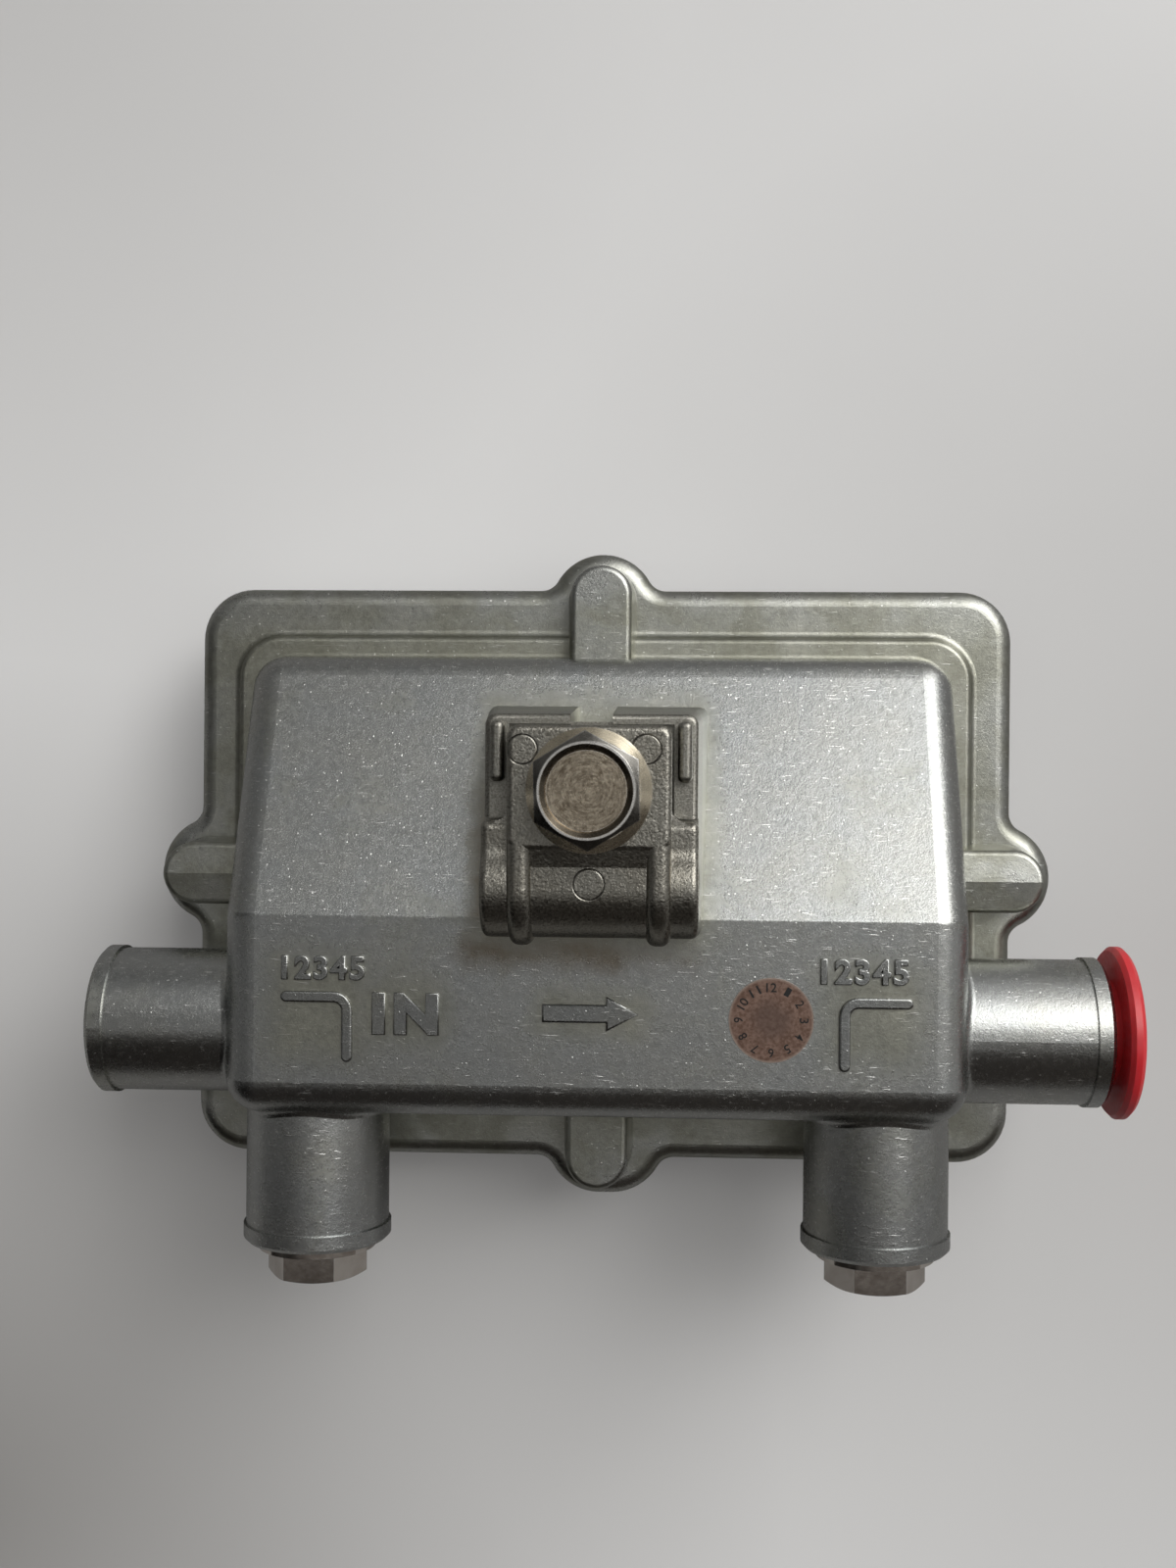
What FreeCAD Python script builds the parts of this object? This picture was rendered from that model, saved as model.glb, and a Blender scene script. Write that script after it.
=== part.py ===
"""Outdoor cable tap: a die-cast housing on its face plate, with four cable ports and a strand clamp.

Millimetres, +Z up. The tap lies on its four threaded tap ports with the strand clamp on top. The
origin is under the middle of its overall box, on the surface that it lies on. The pieces are worked
out about the middle of the housing and moved to the origin as they are saved.
"""
import FreeCAD, Part
import math
import os

# Box and roof of the housing
box_length = 105.0
box_width = 66.0
roof_height = 28.5
crease_y = -4.5
roof_slope_deg = 23.0
crease_round = 0.8
box_round = 5.0
box_root_round = 1.2
wall = 2.5
cavity_round = 2.5

# Flange, shelf and lugs, by how far they stand out
flange_margin_x = 11.0
flange_margin_y = 11.5
flange_corner = 8.0
flange_thickness = 6.0
flange_edge_round = 2.6
shelf_margin_x = 4.25
shelf_margin_y = 3.8
shelf_corner = 6.5
shelf_height = 2.5
shelf_root_round = 1.2
shelf_edge_round = 0.9
lug_radius = 8.3
lug_reach_x = 6.2
lug_reach_y = 5.7
lug_blend = 3.0
wide_lug_shift = 2.0

# Cable ports, heights measured from the top of the flange
port_axis_height = 14.8
side_port_inset = 11.7
lower_port_inset = 11.5
side_port_length = 20.4
lower_port_length = 20.1
port_tube_radius = 10.45
port_band_radius = 10.8
port_band_length = 2.5
port_chamfer = 0.6
port_root_round = 1.2
port_thread_radius = 7.94

# Ribs that cover the blind bolt holes in the lugs
rib_height = 9.0
rib_top_width = 9.2
rib_draft = 0.8
rib_tip_gap = 3.1
rib_edge_round = 0.9
rib_ridge_rise = 0.5

# Face plate, its rim and its gaskets
plate_depth = 7.5
plate_floor = 2.8
plate_edge_round = 1.5
rim_inner_corner = 4.0
radio_seal_offset = 1.6
radio_seal_width = 1.4
radio_seal_depth = 1.2
weather_seal_offset = 4.6
weather_seal_width = 2.4
weather_seal_depth = 1.8

# Cover bolts
bolt_radius = 3.0
bolt_fit = 0.05
bolt_clearance = 0.4
bolt_head_flats = 10.0
bolt_head_height = 4.0
bolt_washer_radius = 6.4
bolt_washer_height = 1.0
bolt_thread_depth = 10.5
bolt_tip_gap = 0.8

# Tap ports in the face plate
tap_port_length = 10.0
tap_port_inset_x = 16.0
tap_port_inset_y = 7.0
tap_thread_radius = 4.76
tap_thread_chamfer = 0.5
tap_hex_flats = 11.1
tap_hex_height = 2.6
tap_wall = 1.1
tap_collar_radius = 6.2
tap_collar_height = 1.2
tap_seat_radius = 8.6
tap_seat_height = 1.0
insulator_inset = 1.2
contact_radius = 1.1
contact_hole_radius = 0.5
contact_inset = 2.0
boss_radius = 8.4
boss_height = 1.6

# Circuit board and what stands on it
board_margin_x = 4.0
board_margin_y = 5.5
board_corner = 3.0
board_thickness = 1.6
board_gap = 7.0
board_screw_inset = 4.5
board_screw_to_socket = 12.7
post_radius = 3.2
screw_radius = 1.5
screw_head_radius = 2.7
screw_head_height = 1.8
screw_reach = 5.0

# Seizure blocks, which hold the centre conductors of the cables
terminal_size = 8.6
terminal_below_axis = 5.5
terminal_above_axis = 4.5
block_wall_x = 2.1
block_wall_y = 2.2
block_below_axis = 7.0
pin_hole_radius = 1.7
entry_cone_radius = 4.0
seizure_hole_radius = 2.0
seizure_fit = 0.06
seizure_length = 5.6
shoe_height = 0.8
tongue_width = 2.4
tongue_thickness = 1.2
tongue_reach = 5.2
blade_radius = 0.9
blade_clearance = 0.05
socket_radius = 2.0
socket_height = 5.5

# Power choke, coupler cores and line capacitors
choke_length = 30.0
choke_core_radius = 2.4
choke_coil_radius = 4.2
choke_coil_length = 20.0
choke_y = -3.0
choke_wire = 1.6
core_length = 7.0
core_width = 5.0
core_height = 5.6
core_hole_radius = 1.0
core_spacing = 11.0
core_y = 8.5
capacitor_radius = 4.2
capacitor_thickness = 2.6
capacitor_round = 0.8
capacitor_past_screw = 4.0
capacitor_behind_screw = 6.5

# Strand clamp: the strand's place, heights from the top of the flange
strand_radius = 4.0
strand_y = 0.4
strand_height = 38.5
clamp_half_length = 14.2
clamp_split = 0.35

# The clamp's pad on the housing, measured from the bolt and the strand
clamp_bolt_y = 13.3
pad_front_reach = 6.6
pad_corner = 1.5
pad_edge_round = 0.7
pad_draft_deg = 5.0
cheek_rise = 1.3
cheek_gap = 0.35
ledge_thickness = 1.45
ledge_inner = 2.8
pad_back_step = 1.1
fin_rise = 3.85
fin_width = 1.9
fin_length = 8.0
fin_gap = 0.8
fin_inset = 1.1
fin_round = 0.8

# The jaw: plate, heel, barrel, ribs and end blocks behind the barrel's ends
jaw_half_width = 10.6
jaw_plate_gap = 3.5
jaw_plate_thickness = 4.5
jaw_back_reach = 8.4
jaw_front_reach = 7.7
jaw_heel_depth = 3.0
jaw_corner = 1.6
jaw_edge_round = 0.8
barrel_wall = 2.6
barrel_end_round = 0.9
barrel_back_deg = 55.0
saddle_round = 3.0
saddle_length = 2.2
end_block_reach = 8.9
end_block_corner = 1.1
end_block_flare = 1.8
flare_height = 2.8
jaw_rib_rise = 1.05
jaw_rib_width = 3.2
jaw_rib_round = 1.3

# Clamp bolt
clamp_hole_radius = 3.95
jaw_hole_gap = 0.45
clamp_head_flats = 13.0
clamp_head_height = 7.1
clamp_flange_radius = 8.1
clamp_flange_height = 1.4
clamp_dish_radius = 5.8
clamp_dish_draft = 0.75
clamp_dish_depth = 1.2
clamp_rim_width = 0.3
clamp_bevel_deg = 30.0
clamp_head_turn_deg = 31.8
clamp_thread_length = 15.5

# Port plugs
plug_flats = 12.7
plug_hex_length = 4.1
plug_flange_radius = 8.6
plug_flange_length = 1.2
plug_thread_length = 8.0
plug_fit = 0.06
plug_neck_radius = 6.7
plug_ring_length = 1.8
plug_ring_gap = 0.05
plug_socket_radius = 5.2
plug_socket_depth = 5.5

# Push-in cap in the right port
cap_disc_radius = 12.4
cap_disc_gap = 1.5
cap_disc_thickness = 2.1
cap_mouth_gap = 0.19
cap_taper = 0.45
cap_reach = 11.0
cap_wall = 1.3
cap_edge_round = 0.6

# Round label on the roof, measured from the ends of the box
label_inset_x = 27.8
label_inset_y = 14.7
label_radius = 5.85
label_thickness = 0.15

# Plan sizes, worked out from the driving sizes
flange_length = box_length + 2 * flange_margin_x
flange_width = box_width + 2 * flange_margin_y
shelf_length = box_length + 2 * shelf_margin_x
shelf_width = box_width + 2 * shelf_margin_y
lug_tip_x = flange_length / 2 + lug_reach_x
lug_tip_y = flange_width / 2 + lug_reach_y
lug_x = lug_tip_x - lug_radius
lug_y = lug_tip_y - lug_radius
side_port_end = box_length / 2 + side_port_length
lower_port_end = box_width / 2 + lower_port_length
side_port_y = side_port_inset - box_width / 2
lower_port_x = box_length / 2 - lower_port_inset
rim_inner_length = box_length - 2 * wall
rim_inner_width = box_width - 2 * wall
board_length = rim_inner_length - 2 * board_margin_x
board_width = rim_inner_width - 2 * board_margin_y
board_screw_y = board_width / 2 - board_screw_inset
tap_port_x = board_length / 2 - tap_port_inset_x
tap_port_y = board_width / 2 - tap_port_inset_y
barrel_radius = strand_radius + barrel_wall
jaw_rib_radius = barrel_radius + jaw_rib_rise
jaw_back_y = clamp_bolt_y + jaw_back_reach
jaw_front_y = clamp_bolt_y - jaw_front_reach
pad_front_y = strand_y - pad_front_reach
pad_ledge_y = jaw_back_y + cheek_gap + ledge_thickness
pad_back_y = pad_ledge_y - pad_back_step
end_block_back = strand_y + end_block_reach
cheek_front_y = end_block_back + cheek_gap

# Levels, worked out from the driving sizes
tap_seat = tap_port_length
plate_face = tap_seat + tap_seat_height
parting = plate_face + plate_depth
flange_top = parting + flange_thickness
shelf_top = flange_top + shelf_height
roof = flange_top + roof_height
port_axis = flange_top + port_axis_height
plate_inside = plate_face + plate_floor
board_bottom = plate_inside + board_gap
board_top = board_bottom + board_thickness
strand_axis = flange_top + strand_height
pad_top = strand_axis - clamp_split
jaw_bottom = strand_axis + clamp_split
cheek_top = pad_top + cheek_rise
jaw_plate_low = strand_axis + jaw_plate_gap
head_seat = jaw_plate_low + jaw_plate_thickness
slope = math.radians(roof_slope_deg)

# The seizure mechanism's places
terminal_half = terminal_size / 2
socket_x = lower_port_x - terminal_half - tongue_reach + tongue_width / 2
board_screw_x = socket_x - board_screw_to_socket
capacitor_x = board_screw_x + capacitor_past_screw
capacitor_y = capacitor_behind_screw - board_screw_y
block_low = port_axis - block_below_axis
block_high = roof - wall
shoe_top = port_axis - pin_hole_radius
screw_top = shoe_top - shoe_height
screw_low = screw_top - seizure_length

# The overall box, which sets the origin
reach_left = side_port_end
reach_right = side_port_end + cap_disc_gap + cap_disc_thickness
reach_back = lug_tip_y
reach_front = lower_port_end + plug_flange_length + plug_hex_length
origin_x = (reach_right - reach_left) / 2
origin_y = (reach_back - reach_front) / 2

X = FreeCAD.Vector(1, 0, 0)
Y = FreeCAD.Vector(0, 1, 0)
Z = FreeCAD.Vector(0, 0, 1)


def point(x, y, z):
    return FreeCAD.Vector(x, y, z)


def save(name, shape):
    """Checks one piece, moves it to the origin and writes it under its node's name."""
    shape = shape.removeSplitter()
    if not shape.isValid() or len(shape.Solids) != 1:
        raise ValueError(f"{name}: valid {shape.isValid()}, solids {len(shape.Solids)}")
    shape.translate(point(-origin_x, -origin_y, 0))
    shape.exportStep(f"parts/{name}.step")


def rounded_outline(length, width, corner, z, x=0.0, y=0.0):
    """A closed rectangle with round corners, flat at height z."""
    a = length / 2
    b = width / 2
    cut = corner * (1 - math.sqrt(0.5))
    edges = []
    for quarter in range(4):
        sx = (1, -1, -1, 1)[quarter]
        sy = (1, 1, -1, -1)[quarter]
        along_x = point(x + sx * (a - corner), y + sy * b, z)
        middle = point(x + sx * (a - cut), y + sy * (b - cut), z)
        along_y = point(x + sx * a, y + sy * (b - corner), z)
        start, end = (along_y, along_x) if quarter % 2 == 0 else (along_x, along_y)
        if edges:
            edges.append(Part.LineSegment(edges[-1].Vertexes[-1].Point, start).toShape())
        edges.append(Part.Arc(start, middle, end).toShape())
    edges.append(Part.LineSegment(edges[-1].Vertexes[-1].Point, edges[0].Vertexes[0].Point).toShape())
    return Part.Wire(edges)


def slab(length, width, corner, z, height, x=0.0, y=0.0):
    return Part.Face(rounded_outline(length, width, corner, z, x, y)).extrude(point(0, 0, height))


def block(x_low, x_high, y_low, y_high, z_low, z_high):
    corner = point(x_low, y_low, z_low)
    return Part.makeBox(x_high - x_low, y_high - y_low, z_high - z_low, corner)


def round_level_edges(body, level, radius):
    """Round every edge that lies flat at one level."""
    return body.makeFillet(radius, edges_where(body, lambda middle, edge: lies_flat_at(edge, level)))


def rod(radius, start, direction, length):
    return Part.makeCylinder(radius, length, start, direction)


def turned(outline, start, direction):
    """Turns a closed outline of (radius, distance along the axis) about the axis from start."""
    points = [point(radius, 0, along) for radius, along in outline]
    points.append(points[0])
    solid = Part.Face(Part.makePolygon(points)).revolve(point(0, 0, 0), Z, 360)
    solid.Placement = FreeCAD.Placement(start, FreeCAD.Rotation(Z, direction))
    return solid


def hexagon(flats, height, start, direction, turn_deg=0.0):
    """A hexagon across flats, pushed along the direction, turned about it."""
    corner = flats / math.sqrt(3)
    angles = [math.radians(turn_deg + 60 * step) for step in range(7)]
    points = [point(corner * math.cos(angle), corner * math.sin(angle), 0) for angle in angles]
    solid = Part.Face(Part.makePolygon(points)).extrude(point(0, 0, height))
    solid.Placement = FreeCAD.Placement(start, FreeCAD.Rotation(Z, direction))
    return solid


def edges_where(shape, test):
    """The edges whose middle point passes the test."""
    found = []
    for edge in shape.Edges:
        middle = edge.valueAt((edge.FirstParameter + edge.LastParameter) / 2)
        if test(middle, edge):
            found.append(edge)
    return found


def is_upright(edge):
    box = edge.BoundBox
    return box.XLength < 1e-6 and box.YLength < 1e-6


def lies_flat_at(edge, z):
    return abs(edge.BoundBox.ZMin - z) < 1e-6 and abs(edge.BoundBox.ZMax - z) < 1e-6


def rim_body(z, height):
    """Flange outline with its four lugs, blended in, used by the housing and by the face plate."""
    body = slab(flange_length, flange_width, flange_corner, z, height)
    lugs = [(lug_x, 0), (-lug_x, 0), (0, lug_y), (0, -lug_y), (wide_lug_shift, -lug_y)]
    body = body.fuse([rod(lug_radius, point(x, y, z), Z, height) for x, y in lugs])
    bridge = block(0, wide_lug_shift, -lug_tip_y, -lug_y, z, z + height)
    body = body.fuse(bridge).removeSplitter()
    beside = lug_radius + wide_lug_shift + 1

    def at_lug_root(middle, edge):
        on_long_side = abs(abs(middle.y) - flange_width / 2) < 0.01 and abs(middle.x) < beside
        on_short_side = abs(abs(middle.x) - flange_length / 2) < 0.01 and abs(middle.y) < beside
        return is_upright(edge) and (on_long_side or on_short_side)

    return body.makeFillet(lug_blend, edges_where(body, at_lug_root))


def roof_at(y):
    """Height of the roof's outside at y, before its edges are rounded."""
    return roof - max(0.0, y - crease_y) * math.tan(slope)


def box_body(inset, z_low, rounding):
    """The box under the sloped roof: its side view pushed along X, drawn in by the inset."""
    half_length = box_length / 2 - inset
    half_width = box_width / 2 - inset
    top = roof - inset
    bend = crease_y - inset * math.tan(slope / 2)
    back = top - (half_width - bend) * math.tan(slope)
    outline = [(-half_width, z_low), (-half_width, top), (bend, top), (half_width, back), (half_width, z_low)]
    points = [point(-half_length, y, z) for y, z in outline + outline[:1]]
    body = Part.Face(Part.makePolygon(points)).extrude(point(2 * half_length, 0, 0))

    def on_crease(middle, edge):
        return abs(middle.y - bend) < 0.01 and abs(middle.z - top) < 0.01

    body = body.makeFillet(crease_round, edges_where(body, on_crease))

    def on_rim(middle, edge):
        at_end = abs(abs(middle.x) - half_length) < 0.01
        at_long_wall = abs(abs(middle.y) - half_width) < 0.01 and middle.z > z_low + 0.01
        return (at_end and middle.z > z_low + 0.01) or at_long_wall

    return body.makeFillet(rounding, edges_where(body, on_rim))


def port_body(end, direction, root):
    """Outside of one port: a tube with a wider band round its mouth."""
    length = (end - root).Length
    tube = rod(port_tube_radius, root, direction, length - port_band_length / 2)
    band = [(0, length - port_band_length), (port_band_radius, length - port_band_length),
            (port_band_radius, length - port_chamfer), (port_band_radius - port_chamfer, length), (0, length)]
    return tube.fuse(turned(band, root, direction))


def port_places():
    """Mouth centre and outward direction of the four cable ports."""
    return [(point(-side_port_end, side_port_y, port_axis), -X),
            (point(side_port_end, side_port_y, port_axis), X),
            (point(-lower_port_x, -lower_port_end, port_axis), -Y),
            (point(lower_port_x, -lower_port_end, port_axis), -Y)]


def port_wall(direction):
    """Half the box across the wall that a port stands on, to the outside of the wall."""
    return box_length / 2 if direction.x else box_width / 2


def port_length(direction):
    return side_port_length if direction.x else lower_port_length


def box_with_ports():
    """The box with its four ports, blended where they meet."""
    tubes = []
    for end, direction in port_places():
        root = end - direction * (port_length(direction) + wall)
        tubes.append(port_body(end, direction, root))
    body = box_body(0.0, flange_top - 1, box_round).fuse(tubes).removeSplitter()

    def at_port_root(middle, edge):
        for end, direction in port_places():
            across = middle - end
            along = across.dot(direction)
            off_axis = (across - direction * along).Length
            depth = -along - port_length(direction)
            if abs(off_axis - port_tube_radius) < 0.02 and -0.05 < depth < box_round + 1:
                return True
        return False

    return body.makeFillet(port_root_round, edges_where(body, at_port_root))


def ridge_wedge(side, length, z):
    """What is cut from one half of a rib's top so that it falls from its middle to its side."""
    y = side * rib_top_width
    points = [point(0, 0, z), point(0, y, z), point(0, y, z - 2 * rib_ridge_rise), point(0, 0, z)]
    return Part.Face(Part.makePolygon(points)).extrude(point(length, 0, 0))


def lug_rib(end, direction, ridged):
    """A drafted rib with a round end, from inside the box wall out over the lug's bolt hole."""
    half_top = rib_top_width / 2
    half_low = half_top + rib_draft
    inner = port_wall(direction) - wall / 2
    layers = []
    for z, half in ((flange_top - 1, half_low), (flange_top + rib_height, half_top)):
        tip = end + half - half_top
        layers.append(Part.Wire([
            Part.LineSegment(point(inner, -half, z), point(tip - half, -half, z)).toShape(),
            Part.Arc(point(tip - half, -half, z), point(tip, 0, z), point(tip - half, half, z)).toShape(),
            Part.LineSegment(point(tip - half, half, z), point(inner, half, z)).toShape(),
            Part.LineSegment(point(inner, half, z), point(inner, -half, z)).toShape()]))
    rib = Part.makeLoft(layers, True, True)
    top = flange_top + rib_height
    if ridged:
        rib = rib.cut([ridge_wedge(side, end + 1, top) for side in (-1, 1)])

    def on_top_rim(middle, edge):
        near_top = edge.BoundBox.ZMin > top - rib_ridge_rise - 0.05
        return near_top and abs(middle.y) > 0.01 and middle.x > inner + 0.01

    rib = rib.makeFillet(rib_edge_round, edges_where(rib, on_top_rim))
    rib.rotate(point(0, 0, 0), Z, math.degrees(math.atan2(direction.y, direction.x)))
    return rib


def rounded_block(x_low, x_high, y_low, y_high, z_low, z_high, corner, edge_round):
    """A block with round upright corners and a rounded top rim."""
    body = block(x_low, x_high, y_low, y_high, z_low, z_high)
    body = body.makeFillet(corner, edges_where(body, lambda middle, edge: is_upright(edge)))
    return round_level_edges(body, z_high, edge_round)


def drafted_block(half_length, y_low, y_high, z_low, z_high, level):
    """The pad's outline at a level, drawn out with the casting's draft below it and in above it."""
    layers = []
    for z in (z_low, z_high):
        spread = (level - z) * math.tan(math.radians(pad_draft_deg))
        layers.append(rounded_outline(2 * (half_length + spread), y_high - y_low + 2 * spread, pad_corner,
                                      z, 0, (y_low + y_high) / 2))
    return round_level_edges(Part.makeLoft(layers, True, True), z_high, pad_edge_round)


def clamp_pad():
    """The pad cast on the roof: seat, cheeks with a fin each, ledges behind the jaw, half the groove."""
    low = roof_at(pad_ledge_y) - wall / 2
    half = clamp_half_length
    inner = jaw_half_width + cheek_gap
    ledge_front = jaw_back_y + cheek_gap
    above = cheek_top + 1
    beyond = half + 2 * pad_corner
    behind = pad_ledge_y + 2 * pad_corner
    pad = drafted_block(half, pad_front_y, pad_ledge_y, low, cheek_top, pad_top)
    pad = pad.cut([block(-beyond, beyond, pad_front_y - 1, cheek_front_y, pad_top, above),
                   block(-inner, inner, cheek_front_y - 1, ledge_front, pad_top, above),
                   block(-ledge_inner, ledge_inner, ledge_front - 1, behind, pad_top, above),
                   block(-ledge_inner, ledge_inner, pad_back_y, behind, low - 1, above)])
    fins = []
    fin_back = pad_ledge_y - fin_inset
    for side in (-1, 1):
        near = side * (jaw_half_width + fin_gap)
        ends = sorted((near, near + side * fin_width))
        fins.append(rounded_block(*ends, fin_back - fin_length, fin_back, pad_top, pad_top + fin_rise,
                                  fin_round, fin_round - 0.05))
    pad = pad.fuse(fins)
    return pad.cut(rod(strand_radius, point(-beyond, strand_y, strand_axis), X, 2 * beyond))


def flange_and_shelf():
    """The flange, the shelf on it and the foot of the box, with the rounds between them."""
    body = rim_body(parting, flange_thickness)
    body = round_level_edges(body, flange_top, flange_edge_round)
    shelf = slab(shelf_length, shelf_width, shelf_corner, flange_top - 1, shelf_height + 1)
    body = body.fuse(shelf).removeSplitter()

    def on_shelf_root(middle, edge):
        inside = abs(middle.x) < shelf_length / 2 + 0.01 and abs(middle.y) < shelf_width / 2 + 0.01
        return lies_flat_at(edge, flange_top) and inside

    body = body.makeFillet(shelf_root_round, edges_where(body, on_shelf_root))
    body = round_level_edges(body, shelf_top, shelf_edge_round)
    foot = slab(box_length, box_width, box_round, shelf_top - 1, 2 * box_root_round + 1)
    body = body.fuse(foot).removeSplitter()

    def on_box_root(middle, edge):
        inside = abs(middle.x) < box_length / 2 + 0.01 and abs(middle.y) < box_width / 2 + 0.01
        return lies_flat_at(edge, shelf_top) and inside

    return body.makeFillet(box_root_round, edges_where(body, on_box_root))


def lug_bolt_places():
    return {"right": (lug_x, 0), "left": (-lug_x, 0), "back": (0, lug_y), "front": (0, -lug_y)}


def housing():
    """The back casting: flange, lugs, shelf, box, ports, ribs and pad, then everything cut from it."""
    pieces = [box_with_ports(), clamp_pad()]
    for direction, tip in ((X, lug_tip_x), (-X, lug_tip_x), (Y, lug_tip_y), (-Y, lug_tip_y)):
        pieces.append(lug_rib(tip - rib_tip_gap, direction, direction.x != 0))
    body = flange_and_shelf().fuse(pieces).removeSplitter()
    body = body.cut(box_body(wall, parting - 1, cavity_round))
    tools = []
    for end, direction in port_places():
        depth = port_length(direction) + wall + cavity_round
        tools.append(rod(port_thread_radius, end - direction * depth, direction, depth + 1))
    for x, y in lug_bolt_places().values():
        tools.append(rod(bolt_radius, point(x, y, parting - 1), Z, bolt_thread_depth + 1))
    hole_bottom = pad_top - clamp_thread_length - bolt_tip_gap
    tools.append(rod(clamp_hole_radius, point(0, clamp_bolt_y, hole_bottom), Z, pad_top + 1 - hole_bottom))
    return body.cut(tools)


def seal_ring(offset, width, depth):
    """A rounded rectangular ring whose top is level with the parting face."""
    low = parting - depth
    length = rim_inner_length + 2 * offset
    across = rim_inner_width + 2 * offset
    corner = rim_inner_corner + offset
    outer = slab(length + 2 * width, across + 2 * width, corner + width, low, depth)
    return outer.cut(slab(length, across, corner, low - 1, depth + 2))


def face_plate():
    """The front casting: a tray with the same outline, seal grooves, tap port seats and board posts."""
    body = rim_body(plate_face, plate_depth)
    body = round_level_edges(body, plate_face, plate_edge_round)
    body = body.cut([slab(rim_inner_length, rim_inner_width, rim_inner_corner, plate_inside, plate_depth),
                     seal_ring(radio_seal_offset, radio_seal_width, radio_seal_depth),
                     seal_ring(weather_seal_offset, weather_seal_width, weather_seal_depth)])
    added = []
    for x, y in tap_port_places():
        added.append(rod(boss_radius, point(x, y, plate_inside - 1), Z, boss_height + 1))
        added.append(rod(tap_seat_radius, point(x, y, tap_seat), Z, tap_seat_height + 1))
    for x, y in board_screw_places():
        added.append(rod(post_radius, point(x, y, plate_inside - 1), Z, board_gap + 1))
    body = body.fuse(added).removeSplitter()
    tools = []
    for x, y in tap_port_places():
        tools.append(rod(tap_thread_radius, point(x, y, tap_seat - 1), Z, plate_depth))
    for x, y in board_screw_places():
        tools.append(rod(screw_radius, point(x, y, board_bottom - screw_reach), Z, screw_reach + 1))
    for x, y in lug_bolt_places().values():
        tools.append(rod(bolt_radius + bolt_clearance, point(x, y, plate_face - 1), Z, plate_depth + 2))
    return body.cut(tools)


def tap_port_places():
    return [(x, y) for y in (tap_port_y, -tap_port_y) for x in (-tap_port_x, tap_port_x)]


def board_screw_places():
    return [(x, y) for y in (board_screw_y, -board_screw_y) for x in (-board_screw_x, board_screw_x)]


def cover_bolt(x, y):
    """Hexagon bolt with a washer face, up through the face plate's lug into the housing's."""
    base = point(x, y, plate_face)
    washer = rod(bolt_washer_radius, base - Z * bolt_washer_height, Z, bolt_washer_height)
    head_low = base - Z * bolt_head_height
    head = hexagon(bolt_head_flats, bolt_head_height - bolt_washer_height, head_low, Z)
    bevel = [(0, 0), (bolt_head_flats / 2, 0), (bolt_head_flats / 2 + 1.2, 0.7),
             (bolt_head_flats / 2 + 1.2, bolt_head_height), (0, bolt_head_height)]
    head = head.common(turned(bevel, head_low, Z))
    shank = rod(bolt_radius - bolt_fit, base, Z, plate_depth + bolt_thread_depth - bolt_tip_gap)
    return head.fuse([washer, shank])


def tap_port_shell(x, y):
    """Threaded tap port: a hexagon against its seat, a threaded nose below it and a collar inside."""
    inner = tap_thread_radius - tap_wall
    collar_low = plate_inside + boss_height
    collar_high = collar_low + tap_collar_height
    nose = [(inner, 0), (tap_thread_radius - tap_thread_chamfer, 0), (tap_thread_radius, tap_thread_chamfer),
            (tap_thread_radius, collar_low), (tap_collar_radius, collar_low),
            (tap_collar_radius, collar_high), (inner, collar_high)]
    shell = turned(nose, point(x, y, 0), Z)
    hex_low = tap_seat - tap_hex_height
    nut = hexagon(tap_hex_flats, tap_hex_height, point(x, y, hex_low), Z, 30)
    return shell.fuse(nut.cut(rod(inner, point(x, y, hex_low - 1), Z, tap_hex_height + 2)))


def tap_port_insulator(x, y):
    """Insulating core of a tap port, hollow for the contact, with a funnel at its mouth."""
    top = plate_inside + boss_height + tap_collar_height
    outer = tap_thread_radius - tap_wall
    step = contact_inset + insulator_inset
    outline = [(contact_hole_radius, insulator_inset + 0.6), (contact_hole_radius + 0.6, insulator_inset),
               (outer, insulator_inset), (outer, top), (contact_radius, top),
               (contact_radius, step), (contact_hole_radius, step)]
    return turned(outline, point(x, y, 0), Z)


def tap_port_contact(x, y):
    """Tubular contact, from inside the insulator up to the underside of the board."""
    low = contact_inset + insulator_inset
    outline = [(contact_hole_radius, low), (contact_radius, low), (contact_radius, board_bottom),
               (0, board_bottom), (0, board_bottom - 2), (contact_hole_radius, board_bottom - 2)]
    return turned(outline, point(x, y, 0), Z)


def circuit_board():
    board = slab(board_length, board_width, board_corner, board_bottom, board_thickness)
    holes = []
    for x, y in board_screw_places():
        holes.append(rod(screw_radius + 0.2, point(x, y, board_bottom - 1), Z, board_thickness + 2))
    for side in (-1, 1):
        holes.append(rod(blade_radius + 0.3, point(side * socket_x, side_port_y, board_bottom - 1), Z, 4))
    return board.cut(holes)


def board_screw(x, y):
    """Pan-head screw with a cross-cut top."""
    reach = screw_reach - bolt_tip_gap
    shank = screw_radius - bolt_fit
    outline = [(0, -board_thickness - reach), (shank, -board_thickness - reach), (shank, 0),
               (screw_head_radius, 0), (screw_head_radius, screw_head_height * 0.6),
               (screw_head_radius * 0.7, screw_head_height), (0, screw_head_height)]
    screw = turned(outline, point(x, y, board_top), Z)
    z = board_top + screw_head_height
    length = screw_head_radius * 0.6
    for a, b in ((length, 0.3), (0.3, length)):
        screw = screw.cut(block(x - a, x + a, y - b, y + b, z - 0.9, z + 1))
    return screw


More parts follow.
